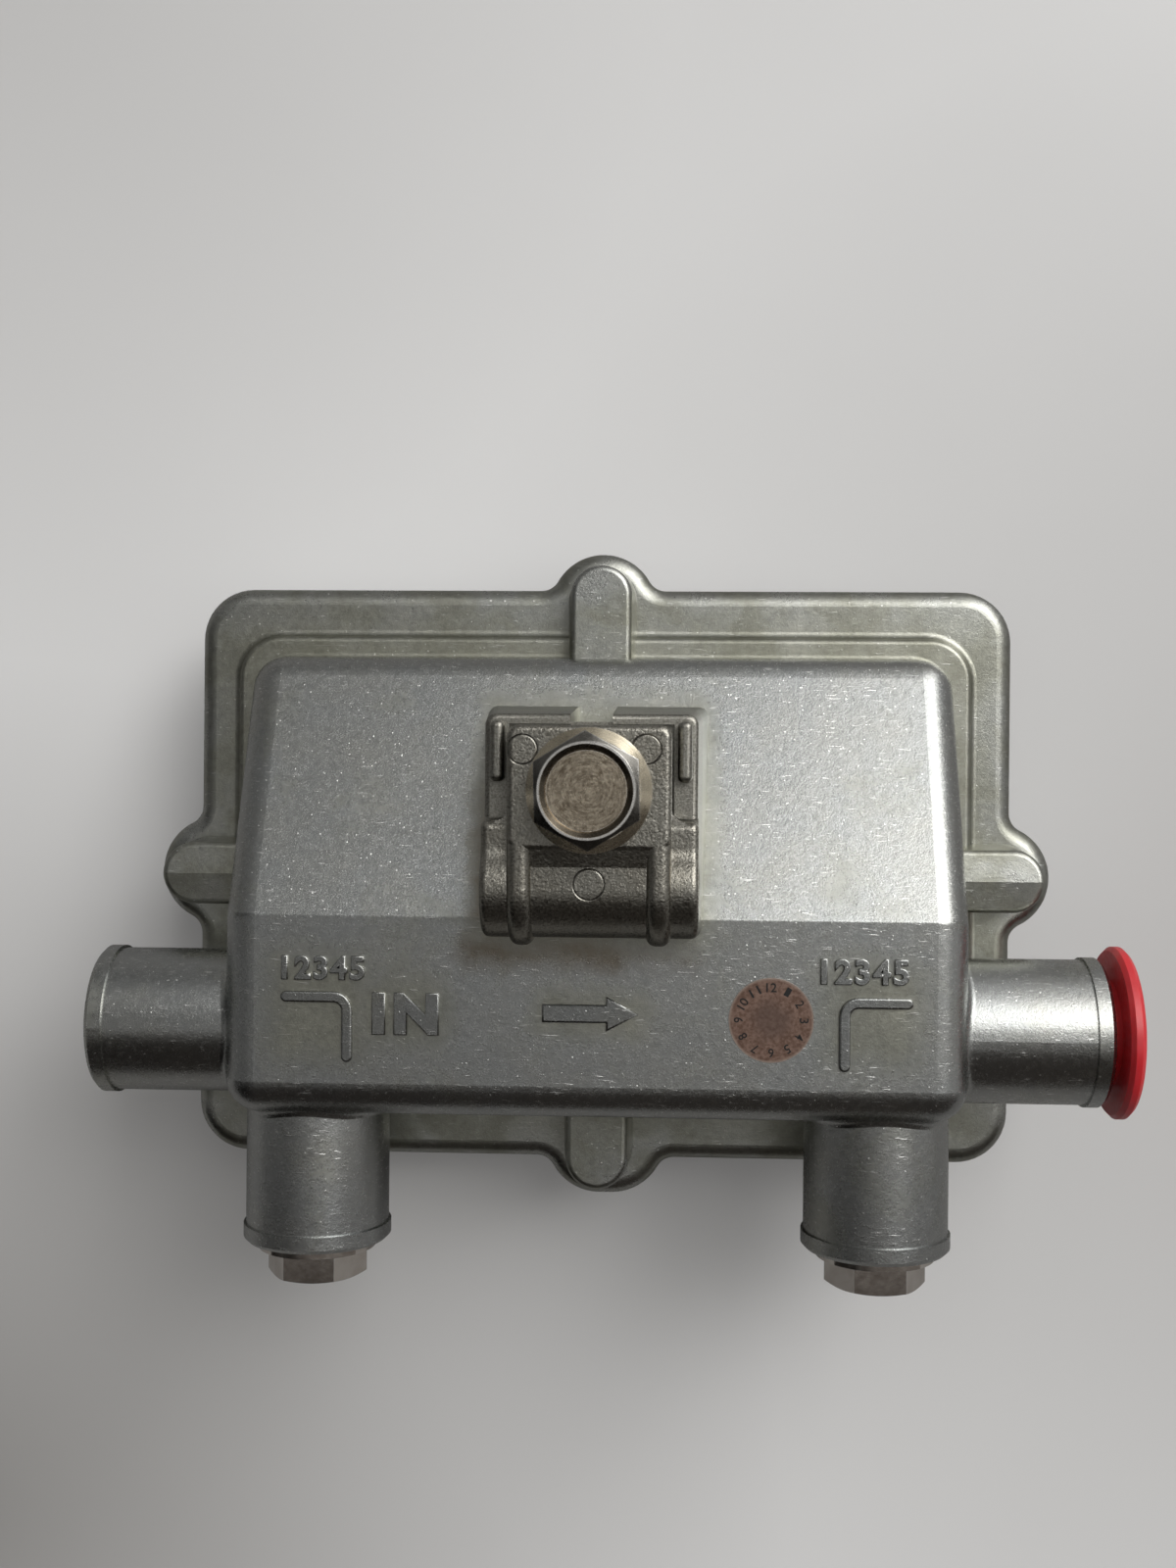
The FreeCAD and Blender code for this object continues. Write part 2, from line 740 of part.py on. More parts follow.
def seizure_block(side):
    """Insulating block under the roof with funnels that lead both cables' conductors to the terminal."""
    x = side * lower_port_x
    y = side_port_y
    room = terminal_half
    half_x = room + block_wall_x
    half_y = room + block_wall_y
    body = slab(2 * half_x, 2 * half_y, 2.0, block_low, block_high - block_low, x, y)
    room_top = port_axis + terminal_above_axis
    body = body.cut(block(x - room, x + room, y - room, y + room, block_low - 1, room_top))
    tongue_half = tongue_width / 2 + 0.2
    tongue_top = port_axis - terminal_below_axis + tongue_thickness + 0.3
    body = body.cut(block(*sorted((x, x - side * 2 * half_x)), y - tongue_half, y + tongue_half,
                          block_low - 1, tongue_top))
    for direction, half in ((X * side, half_x), (-Y, half_y)):
        funnel = [(0, 0), (pin_hole_radius, 0), (pin_hole_radius, half - 1.6),
                  (entry_cone_radius, half + 0.01), (0, half + 0.01)]
        body = body.cut(turned(funnel, point(x, y, port_axis), direction))
    return body


def seizure_terminal(side):
    """Brass terminal: crossed conductor holes, the screw's thread from below and a tongue with its blade."""
    x = side * lower_port_x
    y = side_port_y
    low = port_axis - terminal_below_axis
    half = terminal_half
    body = block(x - half, x + half, y - half, y + half, low, port_axis + terminal_above_axis)
    tip = x - side * (half + tongue_reach)
    tongue = block(*sorted((x - side * half, tip)), y - tongue_width / 2, y + tongue_width / 2,
                   low, low + tongue_thickness)
    blade_low = board_top + 0.5
    blade = rod(blade_radius, point(side * socket_x, y, blade_low), Z, low + tongue_thickness / 2 - blade_low)
    body = body.fuse([tongue, blade]).removeSplitter()
    body = body.cut(rod(pin_hole_radius, point(x, y, port_axis), X * side, half + 1))
    body = body.cut(rod(pin_hole_radius, point(x, y, port_axis), -Y, half + 1))
    body = body.cut(Part.makeSphere(pin_hole_radius, point(x, y, port_axis)))
    return body.cut(rod(seizure_hole_radius, point(x, y, low - 1), Z, port_axis - low + 1))


def seizure_shoe(side):
    place = point(side * lower_port_x, side_port_y, screw_top)
    return rod(seizure_hole_radius - seizure_fit, place, Z, shoe_height)


def seizure_screw(side):
    """Set screw with a slotted foot, which presses the shoe on to the conductor."""
    place = point(side * lower_port_x, side_port_y, screw_low)
    screw = rod(seizure_hole_radius - seizure_fit, place, Z, seizure_length)
    slot = block(place.x - 3, place.x + 3, place.y - 0.35, place.y + 0.35, screw_low - 1, screw_low + 1.0)
    return screw.cut(slot)


def board_socket(side):
    """Socket on the board that the terminal's blade plugs into."""
    hole = blade_radius + blade_clearance
    outline = [(hole, 0), (socket_radius, 0), (socket_radius, socket_height),
               (hole + 0.5, socket_height), (hole, socket_height - 0.8)]
    return turned(outline, point(side * socket_x, side_port_y, board_top), Z)


def choke_core():
    """Ferrite rod along X, laid on the board in its coil."""
    z = board_top + choke_coil_radius
    return rod(choke_core_radius, point(-choke_length / 2, choke_y, z), X, choke_length)


def choke_coil():
    """The coil's outer form, with its turns as rounded steps."""
    turns = int(choke_coil_length / choke_wire)
    step = choke_coil_length / turns
    low = choke_coil_radius - step / 2
    outline = [(choke_core_radius, 0), (low, 0)]
    for turn in range(turns):
        outline.append((choke_coil_radius, (turn + 0.5) * step))
        outline.append((low, (turn + 1) * step))
    outline.append((choke_core_radius, choke_coil_length))
    z = board_top + choke_coil_radius
    return turned(outline, point(-choke_coil_length / 2, choke_y, z), X)


def coupler_core(x):
    """Ferrite core with two holes through it."""
    half = core_length / 2
    y_low = core_y - core_width / 2
    body = block(x - half, x + half, y_low, y_low + core_width, board_top, board_top + core_height)
    for side in (-1, 1):
        place = point(x + side * core_length / 4, core_y - core_width, board_top + core_height / 2)
        body = body.cut(rod(core_hole_radius, place, Y, 2 * core_width))
    return body


def round_edges(shape):
    return edges_where(shape, lambda middle, edge: edge.Curve.TypeId == "Part::GeomCircle")


def line_capacitor(side):
    """Disc capacitor on its edge."""
    place = point(side * capacitor_x, capacitor_y - capacitor_thickness / 2, board_top + capacitor_radius)
    disc = rod(capacitor_radius, place, Y, capacitor_thickness)
    return disc.makeFillet(capacitor_round, round_edges(disc))


def rounded_disc(radius, start, length, edge_round):
    """A disc along X with both rims rounded."""
    disc = rod(radius, start, X, length)
    return disc.makeFillet(edge_round, round_edges(disc))


def barrel_body():
    """The barrel's side view pushed along X: round in front and on top, then a saddle and a low block."""
    middle = point(-clamp_half_length, strand_y, jaw_bottom)

    def on_circle(centre, radius, degrees):
        angle = math.radians(degrees)
        return centre + Y * (radius * math.cos(angle)) + Z * (radius * math.sin(angle))

    saddle_middle = on_circle(middle, barrel_radius + saddle_round, barrel_back_deg)
    saddle_low = saddle_middle - Z * saddle_round
    corner_middle = point(middle.x, end_block_back - end_block_corner, saddle_low.z - end_block_corner)
    front = on_circle(middle, barrel_radius, 180)
    barrel_end = on_circle(middle, barrel_radius, barrel_back_deg)
    saddle_half_deg = (barrel_back_deg + 180 + 270) / 2
    foot = point(middle.x, end_block_back, jaw_bottom)
    outline = Part.Wire([
        Part.Arc(front, on_circle(middle, barrel_radius, 110), barrel_end).toShape(),
        Part.Arc(barrel_end, on_circle(saddle_middle, saddle_round, saddle_half_deg), saddle_low).toShape(),
        Part.LineSegment(saddle_low, corner_middle + Z * end_block_corner).toShape(),
        Part.Arc(corner_middle + Z * end_block_corner, on_circle(corner_middle, end_block_corner, 45),
                 corner_middle + Y * end_block_corner).toShape(),
        Part.LineSegment(corner_middle + Y * end_block_corner, foot).toShape(),
        Part.LineSegment(foot, front).toShape()])
    body = Part.Face(outline).extrude(X * (2 * clamp_half_length))

    def on_end_rim(middle, edge):
        return abs(abs(middle.x) - clamp_half_length) < 1e-6 and middle.z > jaw_bottom + 1e-6

    return body.makeFillet(barrel_end_round, edges_where(body, on_end_rim))


def block_flare(side):
    """The round corner between the plate's side and the end block's back."""
    x = side * jaw_half_width
    axis = x + side * end_block_flare
    y = end_block_back + end_block_flare
    z = jaw_plate_low - flare_height / 2
    corner = block(*sorted((x - side, axis)), end_block_back - 1, y, z, z + flare_height)
    return corner.cut(rod(end_block_flare, point(axis, y, z - 1), Z, flare_height + 2))


def clamp_jaw():
    """The clamp's upper casting: plate under the bolt head, barrel over the strand, ribs and end blocks."""
    half = clamp_half_length
    width = jaw_half_width
    body = rounded_block(-width, width, jaw_front_y, jaw_back_y, jaw_plate_low, head_seat,
                         jaw_corner, jaw_edge_round)
    heel_half = width - jaw_edge_round
    heel_front = jaw_back_y - jaw_heel_depth
    heel = block(-heel_half, heel_half, heel_front, jaw_back_y, pad_top, jaw_plate_low + 1)
    rib_top = jaw_bottom + jaw_rib_radius
    behind = jaw_front_y + jaw_corner + 1
    above = block(-half - 1, half + 1, strand_y - jaw_rib_radius - 1, behind, jaw_bottom, rib_top + 1)
    barrel_top = jaw_bottom + barrel_radius
    ramp = [(strand_y, jaw_bottom + barrel_wall), (strand_y, barrel_top),
            (jaw_front_y - saddle_length, barrel_top),
            (jaw_front_y + jaw_edge_round, head_seat - jaw_edge_round / 3), (behind, jaw_plate_low + 1)]
    ramp_points = [point(-heel_half, y, z) for y, z in ramp + ramp[:1]]
    saddle = Part.Face(Part.makePolygon(ramp_points)).extrude(X * (2 * heel_half))
    pieces = [heel, barrel_body(), saddle, block_flare(-1), block_flare(1)]
    for side in (-1, 1):
        near = min(side * width, side * (width - jaw_rib_width))
        disc = rounded_disc(jaw_rib_radius, point(near, strand_y, jaw_bottom), jaw_rib_width, jaw_rib_round)
        pieces.append(disc.common(above))
        bar = block(near, near + jaw_rib_width, strand_y, behind, jaw_plate_low, rib_top)

        def on_long_top(middle, edge):
            return lies_flat_at(edge, rib_top) and edge.BoundBox.XLength < 0.01

        pieces.append(bar.makeFillet(jaw_rib_round, edges_where(bar, on_long_top)))
    body = body.fuse(pieces).removeSplitter()
    body = body.cut(rod(strand_radius, point(-half - 1, strand_y, strand_axis), X, 2 * half + 2))
    hole_start = point(0, clamp_bolt_y, pad_top - 1)
    return body.cut(rod(clamp_hole_radius + jaw_hole_gap, hole_start, Z, head_seat - pad_top + 2))


def clamp_bolt():
    """Hexagon bolt with a round flange under a dished head."""
    seat = point(0, clamp_bolt_y, head_seat)
    flange = [(0, 0), (clamp_flange_radius, 0), (clamp_flange_radius, 0.5),
              (clamp_flange_radius - 1.4, clamp_flange_height + 0.3), (0, clamp_flange_height + 0.3)]
    head_low = seat + Z * clamp_flange_height
    head = hexagon(clamp_head_flats, clamp_head_height, head_low, Z, clamp_head_turn_deg)
    top = clamp_flange_height + clamp_head_height
    flat = clamp_head_flats / 2
    rim = clamp_dish_radius + clamp_rim_width
    fall = (flat + 2 - rim) * math.tan(math.radians(clamp_bevel_deg))
    bevel = [(0, 0), (flat + 2, 0), (flat + 2, top - fall), (rim, top), (clamp_dish_radius, top),
             (clamp_dish_radius - clamp_dish_draft, top - clamp_dish_depth), (0, top - clamp_dish_depth)]
    head = head.common(turned(bevel, seat, Z))
    reach = head_seat - pad_top + clamp_thread_length
    radius = clamp_hole_radius - bolt_fit
    shank = [(0, -reach), (radius - 0.7, -reach), (radius, 0.7 - reach), (radius, 0.5), (0, 0.5)]
    return head.fuse([turned(flange, seat, Z), turned(shank, seat, Z)])


def port_plug(side):
    """Plug of a lower port: hexagon, flange, neck for its ring and a hollow threaded nose."""
    end = point(side * lower_port_x, -lower_port_end, port_axis)
    radius = port_thread_radius - plug_fit
    ring_end = plug_ring_length + plug_ring_gap
    length = plug_thread_length + ring_end
    nose = [(0, -plug_flange_length), (plug_flange_radius, -plug_flange_length), (plug_flange_radius, 0),
            (plug_neck_radius, 0), (plug_neck_radius, ring_end), (radius, ring_end), (radius, length - 0.6),
            (radius - 0.6, length), (plug_socket_radius, length),
            (plug_socket_radius, length - plug_socket_depth), (0, length - plug_socket_depth)]
    body = turned(nose, end, Y)
    head_start = end - Y * plug_flange_length
    head = hexagon(plug_flats, plug_hex_length, head_start, -Y, 0)
    flat = plug_flats / 2
    bevel = [(0, 0), (flat + 2, 0), (flat + 2, plug_hex_length - 0.7),
             (flat, plug_hex_length), (0, plug_hex_length)]
    return body.fuse(head.common(turned(bevel, head_start, -Y)))


def plug_ring(side):
    """Seal ring on the plug's neck, inside the mouth of the port."""
    end = point(side * lower_port_x, -lower_port_end, port_axis)
    outer = port_thread_radius - plug_fit
    inner = plug_neck_radius + plug_ring_gap
    cut = 0.35
    low = 0.02
    outline = [(inner, low + cut), (inner + cut, low), (outer - cut, low), (outer, low + cut),
               (outer, plug_ring_length - cut), (outer - cut, plug_ring_length),
               (inner + cut, plug_ring_length), (inner, plug_ring_length - cut)]
    return turned(outline, end, Y)


def port_cap():
    """Push-in cap of the right port: a wide disc and a hollow tapered plug, open outward."""
    end = point(side_port_end, side_port_y, port_axis)
    disc_in = cap_disc_gap
    disc_out = cap_disc_gap + cap_disc_thickness
    edge = cap_edge_round
    mouth = port_thread_radius - cap_mouth_gap
    tip = mouth - cap_taper
    outline = [(0, -cap_reach), (tip - 0.8, -cap_reach), (tip, 0.8 - cap_reach), (mouth, 0), (mouth, disc_in),
               (cap_disc_radius - edge, disc_in), (cap_disc_radius, disc_in + edge),
               (cap_disc_radius, disc_out - edge), (cap_disc_radius - edge, disc_out),
               (mouth - cap_wall, disc_out), (tip - cap_wall, cap_wall - cap_reach),
               (0, cap_wall - cap_reach)]
    return turned(outline, end, X)


def round_label():
    place = point(box_length / 2 - label_inset_x, label_inset_y - box_width / 2, roof)
    return rod(label_radius, place, Z, label_thickness)


def build():
    os.makedirs("parts", exist_ok=True)
    save("housing", housing())
    save("face_plate", face_plate())
    save("radio_gasket", seal_ring(radio_seal_offset, radio_seal_width, radio_seal_depth))
    save("weather_gasket", seal_ring(weather_seal_offset, weather_seal_width, weather_seal_depth))
    for name, (x, y) in lug_bolt_places().items():
        save(f"cover_bolt_{name}", cover_bolt(x, y))
    for number, (x, y) in enumerate(tap_port_places(), 1):
        save(f"tap_port_{number}", tap_port_shell(x, y))
        save(f"tap_insulator_{number}", tap_port_insulator(x, y))
        save(f"tap_contact_{number}", tap_port_contact(x, y))
    save("circuit_board", circuit_board())
    for number, (x, y) in enumerate(board_screw_places(), 1):
        save(f"board_screw_{number}", board_screw(x, y))
    for name, side in (("left", -1), ("right", 1)):
        save(f"seizure_block_{name}", seizure_block(side))
        save(f"seizure_terminal_{name}", seizure_terminal(side))
        save(f"seizure_shoe_{name}", seizure_shoe(side))
        save(f"seizure_screw_{name}", seizure_screw(side))
        save(f"board_socket_{name}", board_socket(side))
        save(f"line_capacitor_{name}", line_capacitor(side))
        save(f"port_plug_{name}", port_plug(side))
        save(f"plug_ring_{name}", plug_ring(side))
    save("choke_core", choke_core())
    save("choke_coil", choke_coil())
    for number, step in enumerate((-1, 0, 1), 1):
        save(f"coupler_core_{number}", coupler_core(step * core_spacing))
    save("clamp_jaw", clamp_jaw())
    save("clamp_bolt", clamp_bolt())
    save("port_cap", port_cap())
    save("round_label", round_label())


build()
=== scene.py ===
import math

import bmesh
import bpy
from mathutils import Matrix, Vector


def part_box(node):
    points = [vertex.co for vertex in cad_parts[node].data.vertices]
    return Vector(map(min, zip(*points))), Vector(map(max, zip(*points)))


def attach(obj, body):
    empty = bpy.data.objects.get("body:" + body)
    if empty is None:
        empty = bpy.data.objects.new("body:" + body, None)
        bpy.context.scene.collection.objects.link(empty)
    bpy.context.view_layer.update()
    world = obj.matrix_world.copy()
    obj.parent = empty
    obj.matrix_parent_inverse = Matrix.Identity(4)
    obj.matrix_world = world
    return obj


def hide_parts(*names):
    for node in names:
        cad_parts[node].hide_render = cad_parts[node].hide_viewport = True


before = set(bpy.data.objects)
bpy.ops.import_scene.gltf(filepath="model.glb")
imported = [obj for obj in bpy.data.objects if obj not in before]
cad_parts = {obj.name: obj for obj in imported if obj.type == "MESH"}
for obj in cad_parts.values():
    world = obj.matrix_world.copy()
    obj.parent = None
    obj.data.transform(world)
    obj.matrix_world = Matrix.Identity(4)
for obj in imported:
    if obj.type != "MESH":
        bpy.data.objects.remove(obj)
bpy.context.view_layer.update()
MM = 0.001

# Places read from the frame
housing_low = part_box("housing")[0]
plate_low, plate_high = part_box("face_plate")
jaw_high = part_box("clamp_jaw")[1]
bolt_low, bolt_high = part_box("clamp_bolt")
cap_low, cap_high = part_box("port_cap")
label_low, label_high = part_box("round_label")
plug_low, plug_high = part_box("port_plug_left")
middle_x = (plate_low.x + plate_high.x) / 2
middle_y = (plate_low.y + plate_high.y) / 2
roof = label_low.z
side_port_y = (cap_low.y + cap_high.y) / 2
port_axis = (cap_low.z + cap_high.z) / 2
bolt_x = (bolt_low.x + bolt_high.x) / 2
bolt_y = (bolt_low.y + bolt_high.y) / 2
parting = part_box("weather_gasket")[1].z
plug_centre = ((plug_low.x + plug_high.x) / 2, 0.0, (plug_low.z + plug_high.z) / 2)

# Raised marks on the roof, in millimetres, with places from the middle of the flange: each gauge mark by
# its tail, corner and foot, and each block of words by its lower left corner, width and height
MARK_HEIGHT = 0.55
MARK_ROUND = 0.3
WORD_EDGE = 0.15
GAUGE_WIDTH = 1.55
GAUGE_TURN_RADIUS = 1.9
GAUGES = {"left": ((-42.9, -15.9), (-34.3, -15.9), (-34.3, -24.2)),
          "right": ((43.4, -15.75), (34.8, -15.75), (34.8, -24.5))}
NUMBER_BLOCKS = {"left": (-43.5, -13.5, 11.6, 3.3), "right": (31.5, -13.2, 12.0, 3.5)}
IN_BLOCK = (-30.7, -21.0, 9.2, 5.75)
ARROW_TAIL = (-7.0, -17.75)
ARROW_SHAFT = (8.9, 2.5)
ARROW_HEAD = (4.5, 4.85)

# Threads, in millimetres: where the left port's starts from its mouth and the plug's from its head's end
PORT_THREAD_RADIUS = 7.94
PORT_THREAD_PITCH = 25.4 / 24
PORT_THREAD_TURNS = 8.0
TAP_THREAD_RADIUS = 4.76
TAP_THREAD_PITCH = 25.4 / 32
TAP_THREAD_START = 0.75
TAP_THREAD_TURNS = 9.0
LEFT_PORT_THREAD_START = 1.0
PLUG_NOSE_START = 8.0
BOLT_THREAD_PITCH = 1.25

# Choke winding, with its wire in millimetres
COIL_WIRE = 1.7
COIL_TURNS = 10.0

# Radii and heights on the clamp bolt's head and the label, in millimetres
DISH_RADIUS = 5.2
RIM_FROM, RIM_TO = 5.75, 6.1
BOLT_FLANGE_HEIGHT = 1.2
LABEL_RIM_FROM = 5.65
LABEL_NUMBER_INSET = 1.95

# Heights and reaches of the castings' skin, in millimetres
RIB_HEIGHT = 15.4
PAD_STEP = 1.6
BOX_REACH = (54.0, 35.0)


def at(x, y, z=0.0):
    """A place given in millimetres from the middle of the flange, with its height in metres."""
    return Vector((middle_x + x * MM, middle_y + y * MM, z))


# Shader helpers

def add(tree, kind, inputs=None, **settings):
    """A shader node with its settings, and its sockets fed or set by name or number."""
    made = tree.nodes.new(kind)
    for key, value in settings.items():
        setattr(made, key, value)
    for key, value in (inputs or {}).items():
        socket = made.inputs[key]
        if isinstance(value, bpy.types.NodeSocket):
            tree.links.new(value, socket)
        else:
            socket.default_value = value
    return made


def maths(tree, operation, *values):
    return add(tree, "ShaderNodeMath", dict(enumerate(values)), operation=operation).outputs[0]


def vectors(tree, operation, *values, output=0):
    """A vector sum; its output 1 is the one that gives a number, such as a length."""
    made = add(tree, "ShaderNodeVectorMath", dict(enumerate(values)), operation=operation)
    return made.outputs[output]


def remap(tree, value, low, high, to_low=0.0, to_high=1.0):
    made = add(tree, "ShaderNodeMapRange", {"Value": value, "From Min": low, "From Max": high,
                                            "To Min": to_low, "To Max": to_high}, clamp=True)
    return made.outputs["Result"]


def tint(tree, factor, first, second):
    """First colour where the factor is 0, second where it is 1."""
    made = add(tree, "ShaderNodeMix", data_type="RGBA")
    for socket, value in ((made.inputs[0], factor), (made.inputs[6], first), (made.inputs[7], second)):
        if isinstance(value, bpy.types.NodeSocket):
            tree.links.new(value, socket)
        elif socket.type == "RGBA":
            socket.default_value = tuple(value[:3]) + (1.0,)
        else:
            socket.default_value = value
    return made.outputs[2]


def own_place(tree):
    """Where a point lies in the part's own frame, in metres."""
    return add(tree, "ShaderNodeTexCoord").outputs["Object"]


def noise(tree, scale, detail=3.0, vector=None, roughness=0.5, distortion=0.0):
    inputs = {"Scale": scale, "Detail": detail, "Roughness": roughness, "Distortion": distortion}
    inputs["Vector"] = vector or own_place(tree)
    return add(tree, "ShaderNodeTexNoise", inputs).outputs["Fac"]


FLOAT, VECTOR = "NodeSocketFloat", "NodeSocketVector"


def new_group(name, inputs, outputs):
    """A shader node group with named sockets, with its input and output nodes."""
    tree = bpy.data.node_groups.new(name, "ShaderNodeTree")
    for label, kind, value in inputs:
        socket = tree.interface.new_socket(name=label, in_out="INPUT", socket_type=kind)
        socket.default_value = value
    for label in outputs:
        tree.interface.new_socket(name=label, in_out="OUTPUT", socket_type=FLOAT)
    return tree, tree.nodes.new("NodeGroupInput").outputs, tree.nodes.new("NodeGroupOutput").inputs


# Effects that more than one finish uses

def make_tumbled_group():
    """Tumbled casting: fine uneven dents, and a few nicks deep enough to catch the light."""
    tree, given, result = new_group(
        "tumbled_dents", [("Dent Size", FLOAT, 0.4), ("Nick Share", FLOAT, 0.06)], ["Tone", "Nick", "Height"])
    place = own_place(tree)
    scale = maths(tree, "DIVIDE", 1000.0, given["Dent Size"])
    fine = noise(tree, scale, 5.0, place, 0.72, 0.4)
    broad = noise(tree, maths(tree, "MULTIPLY", scale, 0.31), 3.0, place, 0.6, 0.5)
    bend = add(tree, "ShaderNodeTexNoise", {"Vector": place, "Scale": scale, "Detail": 2.0}).outputs["Color"]
    reach = maths(tree, "DIVIDE", 0.8, scale)
    reaches = add(tree, "ShaderNodeCombineXYZ", {0: reach, 1: reach, 2: reach}).outputs[0]
    bent = vectors(tree, "MULTIPLY_ADD", bend, reaches, place)
    spacing = maths(tree, "MULTIPLY", scale, 0.55)
    cells = add(tree, "ShaderNodeTexVoronoi", {"Vector": bent, "Scale": spacing}, feature="F1")
    shares = add(tree, "ShaderNodeSeparateColor", {0: cells.outputs["Color"]}).outputs
    low = maths(tree, "SUBTRACT", 1.0, given["Nick Share"])
    chosen = remap(tree, shares[1], low, maths(tree, "ADD", low, 0.01))
    size = maths(tree, "MULTIPLY_ADD", shares[2], 0.16, 0.12)
    spot = remap(tree, maths(tree, "SUBTRACT", cells.outputs["Distance"], size), 0.05, -0.05)
    nick = maths(tree, "MULTIPLY", chosen, spot)
    tone = maths(tree, "MULTIPLY_ADD", broad, 0.5, maths(tree, "MULTIPLY", fine, 0.5))
    dented = maths(tree, "MULTIPLY_ADD", broad, 0.6, fine)
    tree.links.new(tone, result["Tone"])
    tree.links.new(nick, result["Nick"])
    tree.links.new(maths(tree, "MULTIPLY_ADD", nick, 0.5, dented), result["Height"])
    return tree


def make_worn_edge_group():
    """Where edges stand out, broken up as wear is."""
    tree, given, result = new_group(
        "worn_edges", [("Reach", FLOAT, 0.0008), ("Break Up", FLOAT, 0.5)], ["Worn"])
    rounded = add(tree, "ShaderNodeBevel", {"Radius": given["Reach"]}, samples=3)
    flat = add(tree, "ShaderNodeNewGeometry").outputs["Normal"]
    match = vectors(tree, "DOT_PRODUCT", rounded.outputs[0], flat, output=1)
    edge = remap(tree, match, 0.995, 0.86)
    broken = remap(tree, noise(tree, 900.0, 3.0), 0.35, 0.65)
    lost = maths(tree, "MULTIPLY", given["Break Up"], maths(tree, "SUBTRACT", 1.0, broken))
    tree.links.new(maths(tree, "MULTIPLY", edge, maths(tree, "SUBTRACT", 1.0, lost)), result["Worn"])
    return tree


def make_cloud_group():
    """Slow changes of tone across a casting, and stains."""
    tree, given, result = new_group("metal_clouds", [("Patch Size", FLOAT, 12.0)], ["Cloud", "Stain"])
    scale = maths(tree, "DIVIDE", 1000.0, given["Patch Size"])
    cloud = noise(tree, scale, 4.0, distortion=0.4)
    stain = noise(tree, maths(tree, "MULTIPLY", scale, 0.47), 5.0, roughness=0.62, distortion=1.2)
    tree.links.new(remap(tree, cloud, 0.3, 0.7), result["Cloud"])
    tree.links.new(remap(tree, stain, 0.52, 0.72), result["Stain"])
    return tree


def make_scratch_group():
    """Short fine scratches, drawn out at two angles and broken up."""
    tree, given, result = new_group(
        "fine_scratches", [("Density", FLOAT, 0.5), ("Turn", FLOAT, 0.4)], ["Scratch"])
    place = own_place(tree)
    lines = []
    for share, offset in ((1.0, 0.0), (-0.6, 1.3)):
        angle = maths(tree, "MULTIPLY_ADD", given["Turn"], share, offset)
        turn = add(tree, "ShaderNodeCombineXYZ", {2: angle}).outputs[0]
        stretch = {"Vector": place, "Rotation": turn, "Scale": (420.0, 3600.0, 900.0)}
        drawn = add(tree, "ShaderNodeMapping", stretch).outputs[0]
        low = maths(tree, "MULTIPLY_ADD", given["Density"], -0.06, 0.74)
        lines.append(remap(tree, noise(tree, 1.0, 1.0, drawn), low, 0.78))
    broken = remap(tree, noise(tree, 260.0, 2.0), 0.44, 0.56)
    tree.links.new(maths(tree, "MULTIPLY", maths(tree, "MAXIMUM", *lines), broken), result["Scratch"])
    return tree


def make_sand_group():
    """Fine sand-cast grain."""
    tree, given, result = new_group("sand_grain", [("Grain Size", FLOAT, 0.35)], ["Grain", "Height"])
    scale = maths(tree, "DIVIDE", 1000.0, given["Grain Size"])
    grain = noise(tree, scale, 3.0, roughness=0.65)
    tree.links.new(remap(tree, grain, 0.3, 0.7), result["Grain"])
    tree.links.new(maths(tree, "ADD", grain, noise(tree, maths(tree, "MULTIPLY", scale, 0.5), 1.0)),
                   result["Height"])
    return tree


def make_patch_group():
    """A soft, uneven rectangle."""
    tree, given, result = new_group(
        "uneven_patch", [("Centre", VECTOR, (0.0, 0.0, 0.0)), ("Half Size", VECTOR, (0.005, 0.005, 0.005)),
                         ("Softness", FLOAT, 0.002)], ["Inside"])
    place = own_place(tree)
    wander = add(tree, "ShaderNodeTexNoise", {"Vector": place, "Scale": 260.0, "Detail": 3.0,
                                              "Roughness": 0.65}).outputs["Color"]
    sway = vectors(tree, "SUBTRACT", wander, (0.5, 0.5, 0.5))
    moved = vectors(tree, "MULTIPLY_ADD", sway, (0.0045, 0.0045, 0.0), place)
    away = vectors(tree, "ABSOLUTE", vectors(tree, "SUBTRACT", moved, given["Centre"]))
    outside = vectors(tree, "MAXIMUM", vectors(tree, "SUBTRACT", away, given["Half Size"]), (0.0, 0.0, 0.0))
    distance = vectors(tree, "LENGTH", outside, output=1)
    tree.links.new(remap(tree, distance, 0.0, given["Softness"], 1.0, 0.0), result["Inside"])
    return tree


def make_ring_group():
    """A thin round groove, as an ejector pin leaves it."""
    tree, given, result = new_group(
        "pin_ring", [("Centre", VECTOR, (0.0, 0.0, 0.0)), ("Radius", FLOAT, 0.0019),
                     ("Width", FLOAT, 0.00012)], ["Groove"])
    away = vectors(tree, "SUBTRACT", own_place(tree), given["Centre"])
    distance = vectors(tree, "LENGTH", vectors(tree, "MULTIPLY", away, (1.0, 1.0, 0.0)), output=1)
    off = maths(tree, "ABSOLUTE", maths(tree, "SUBTRACT", distance, given["Radius"]))
    tree.links.new(remap(tree, off, 0.0, given["Width"], 1.0, 0.0), result["Groove"])
    return tree


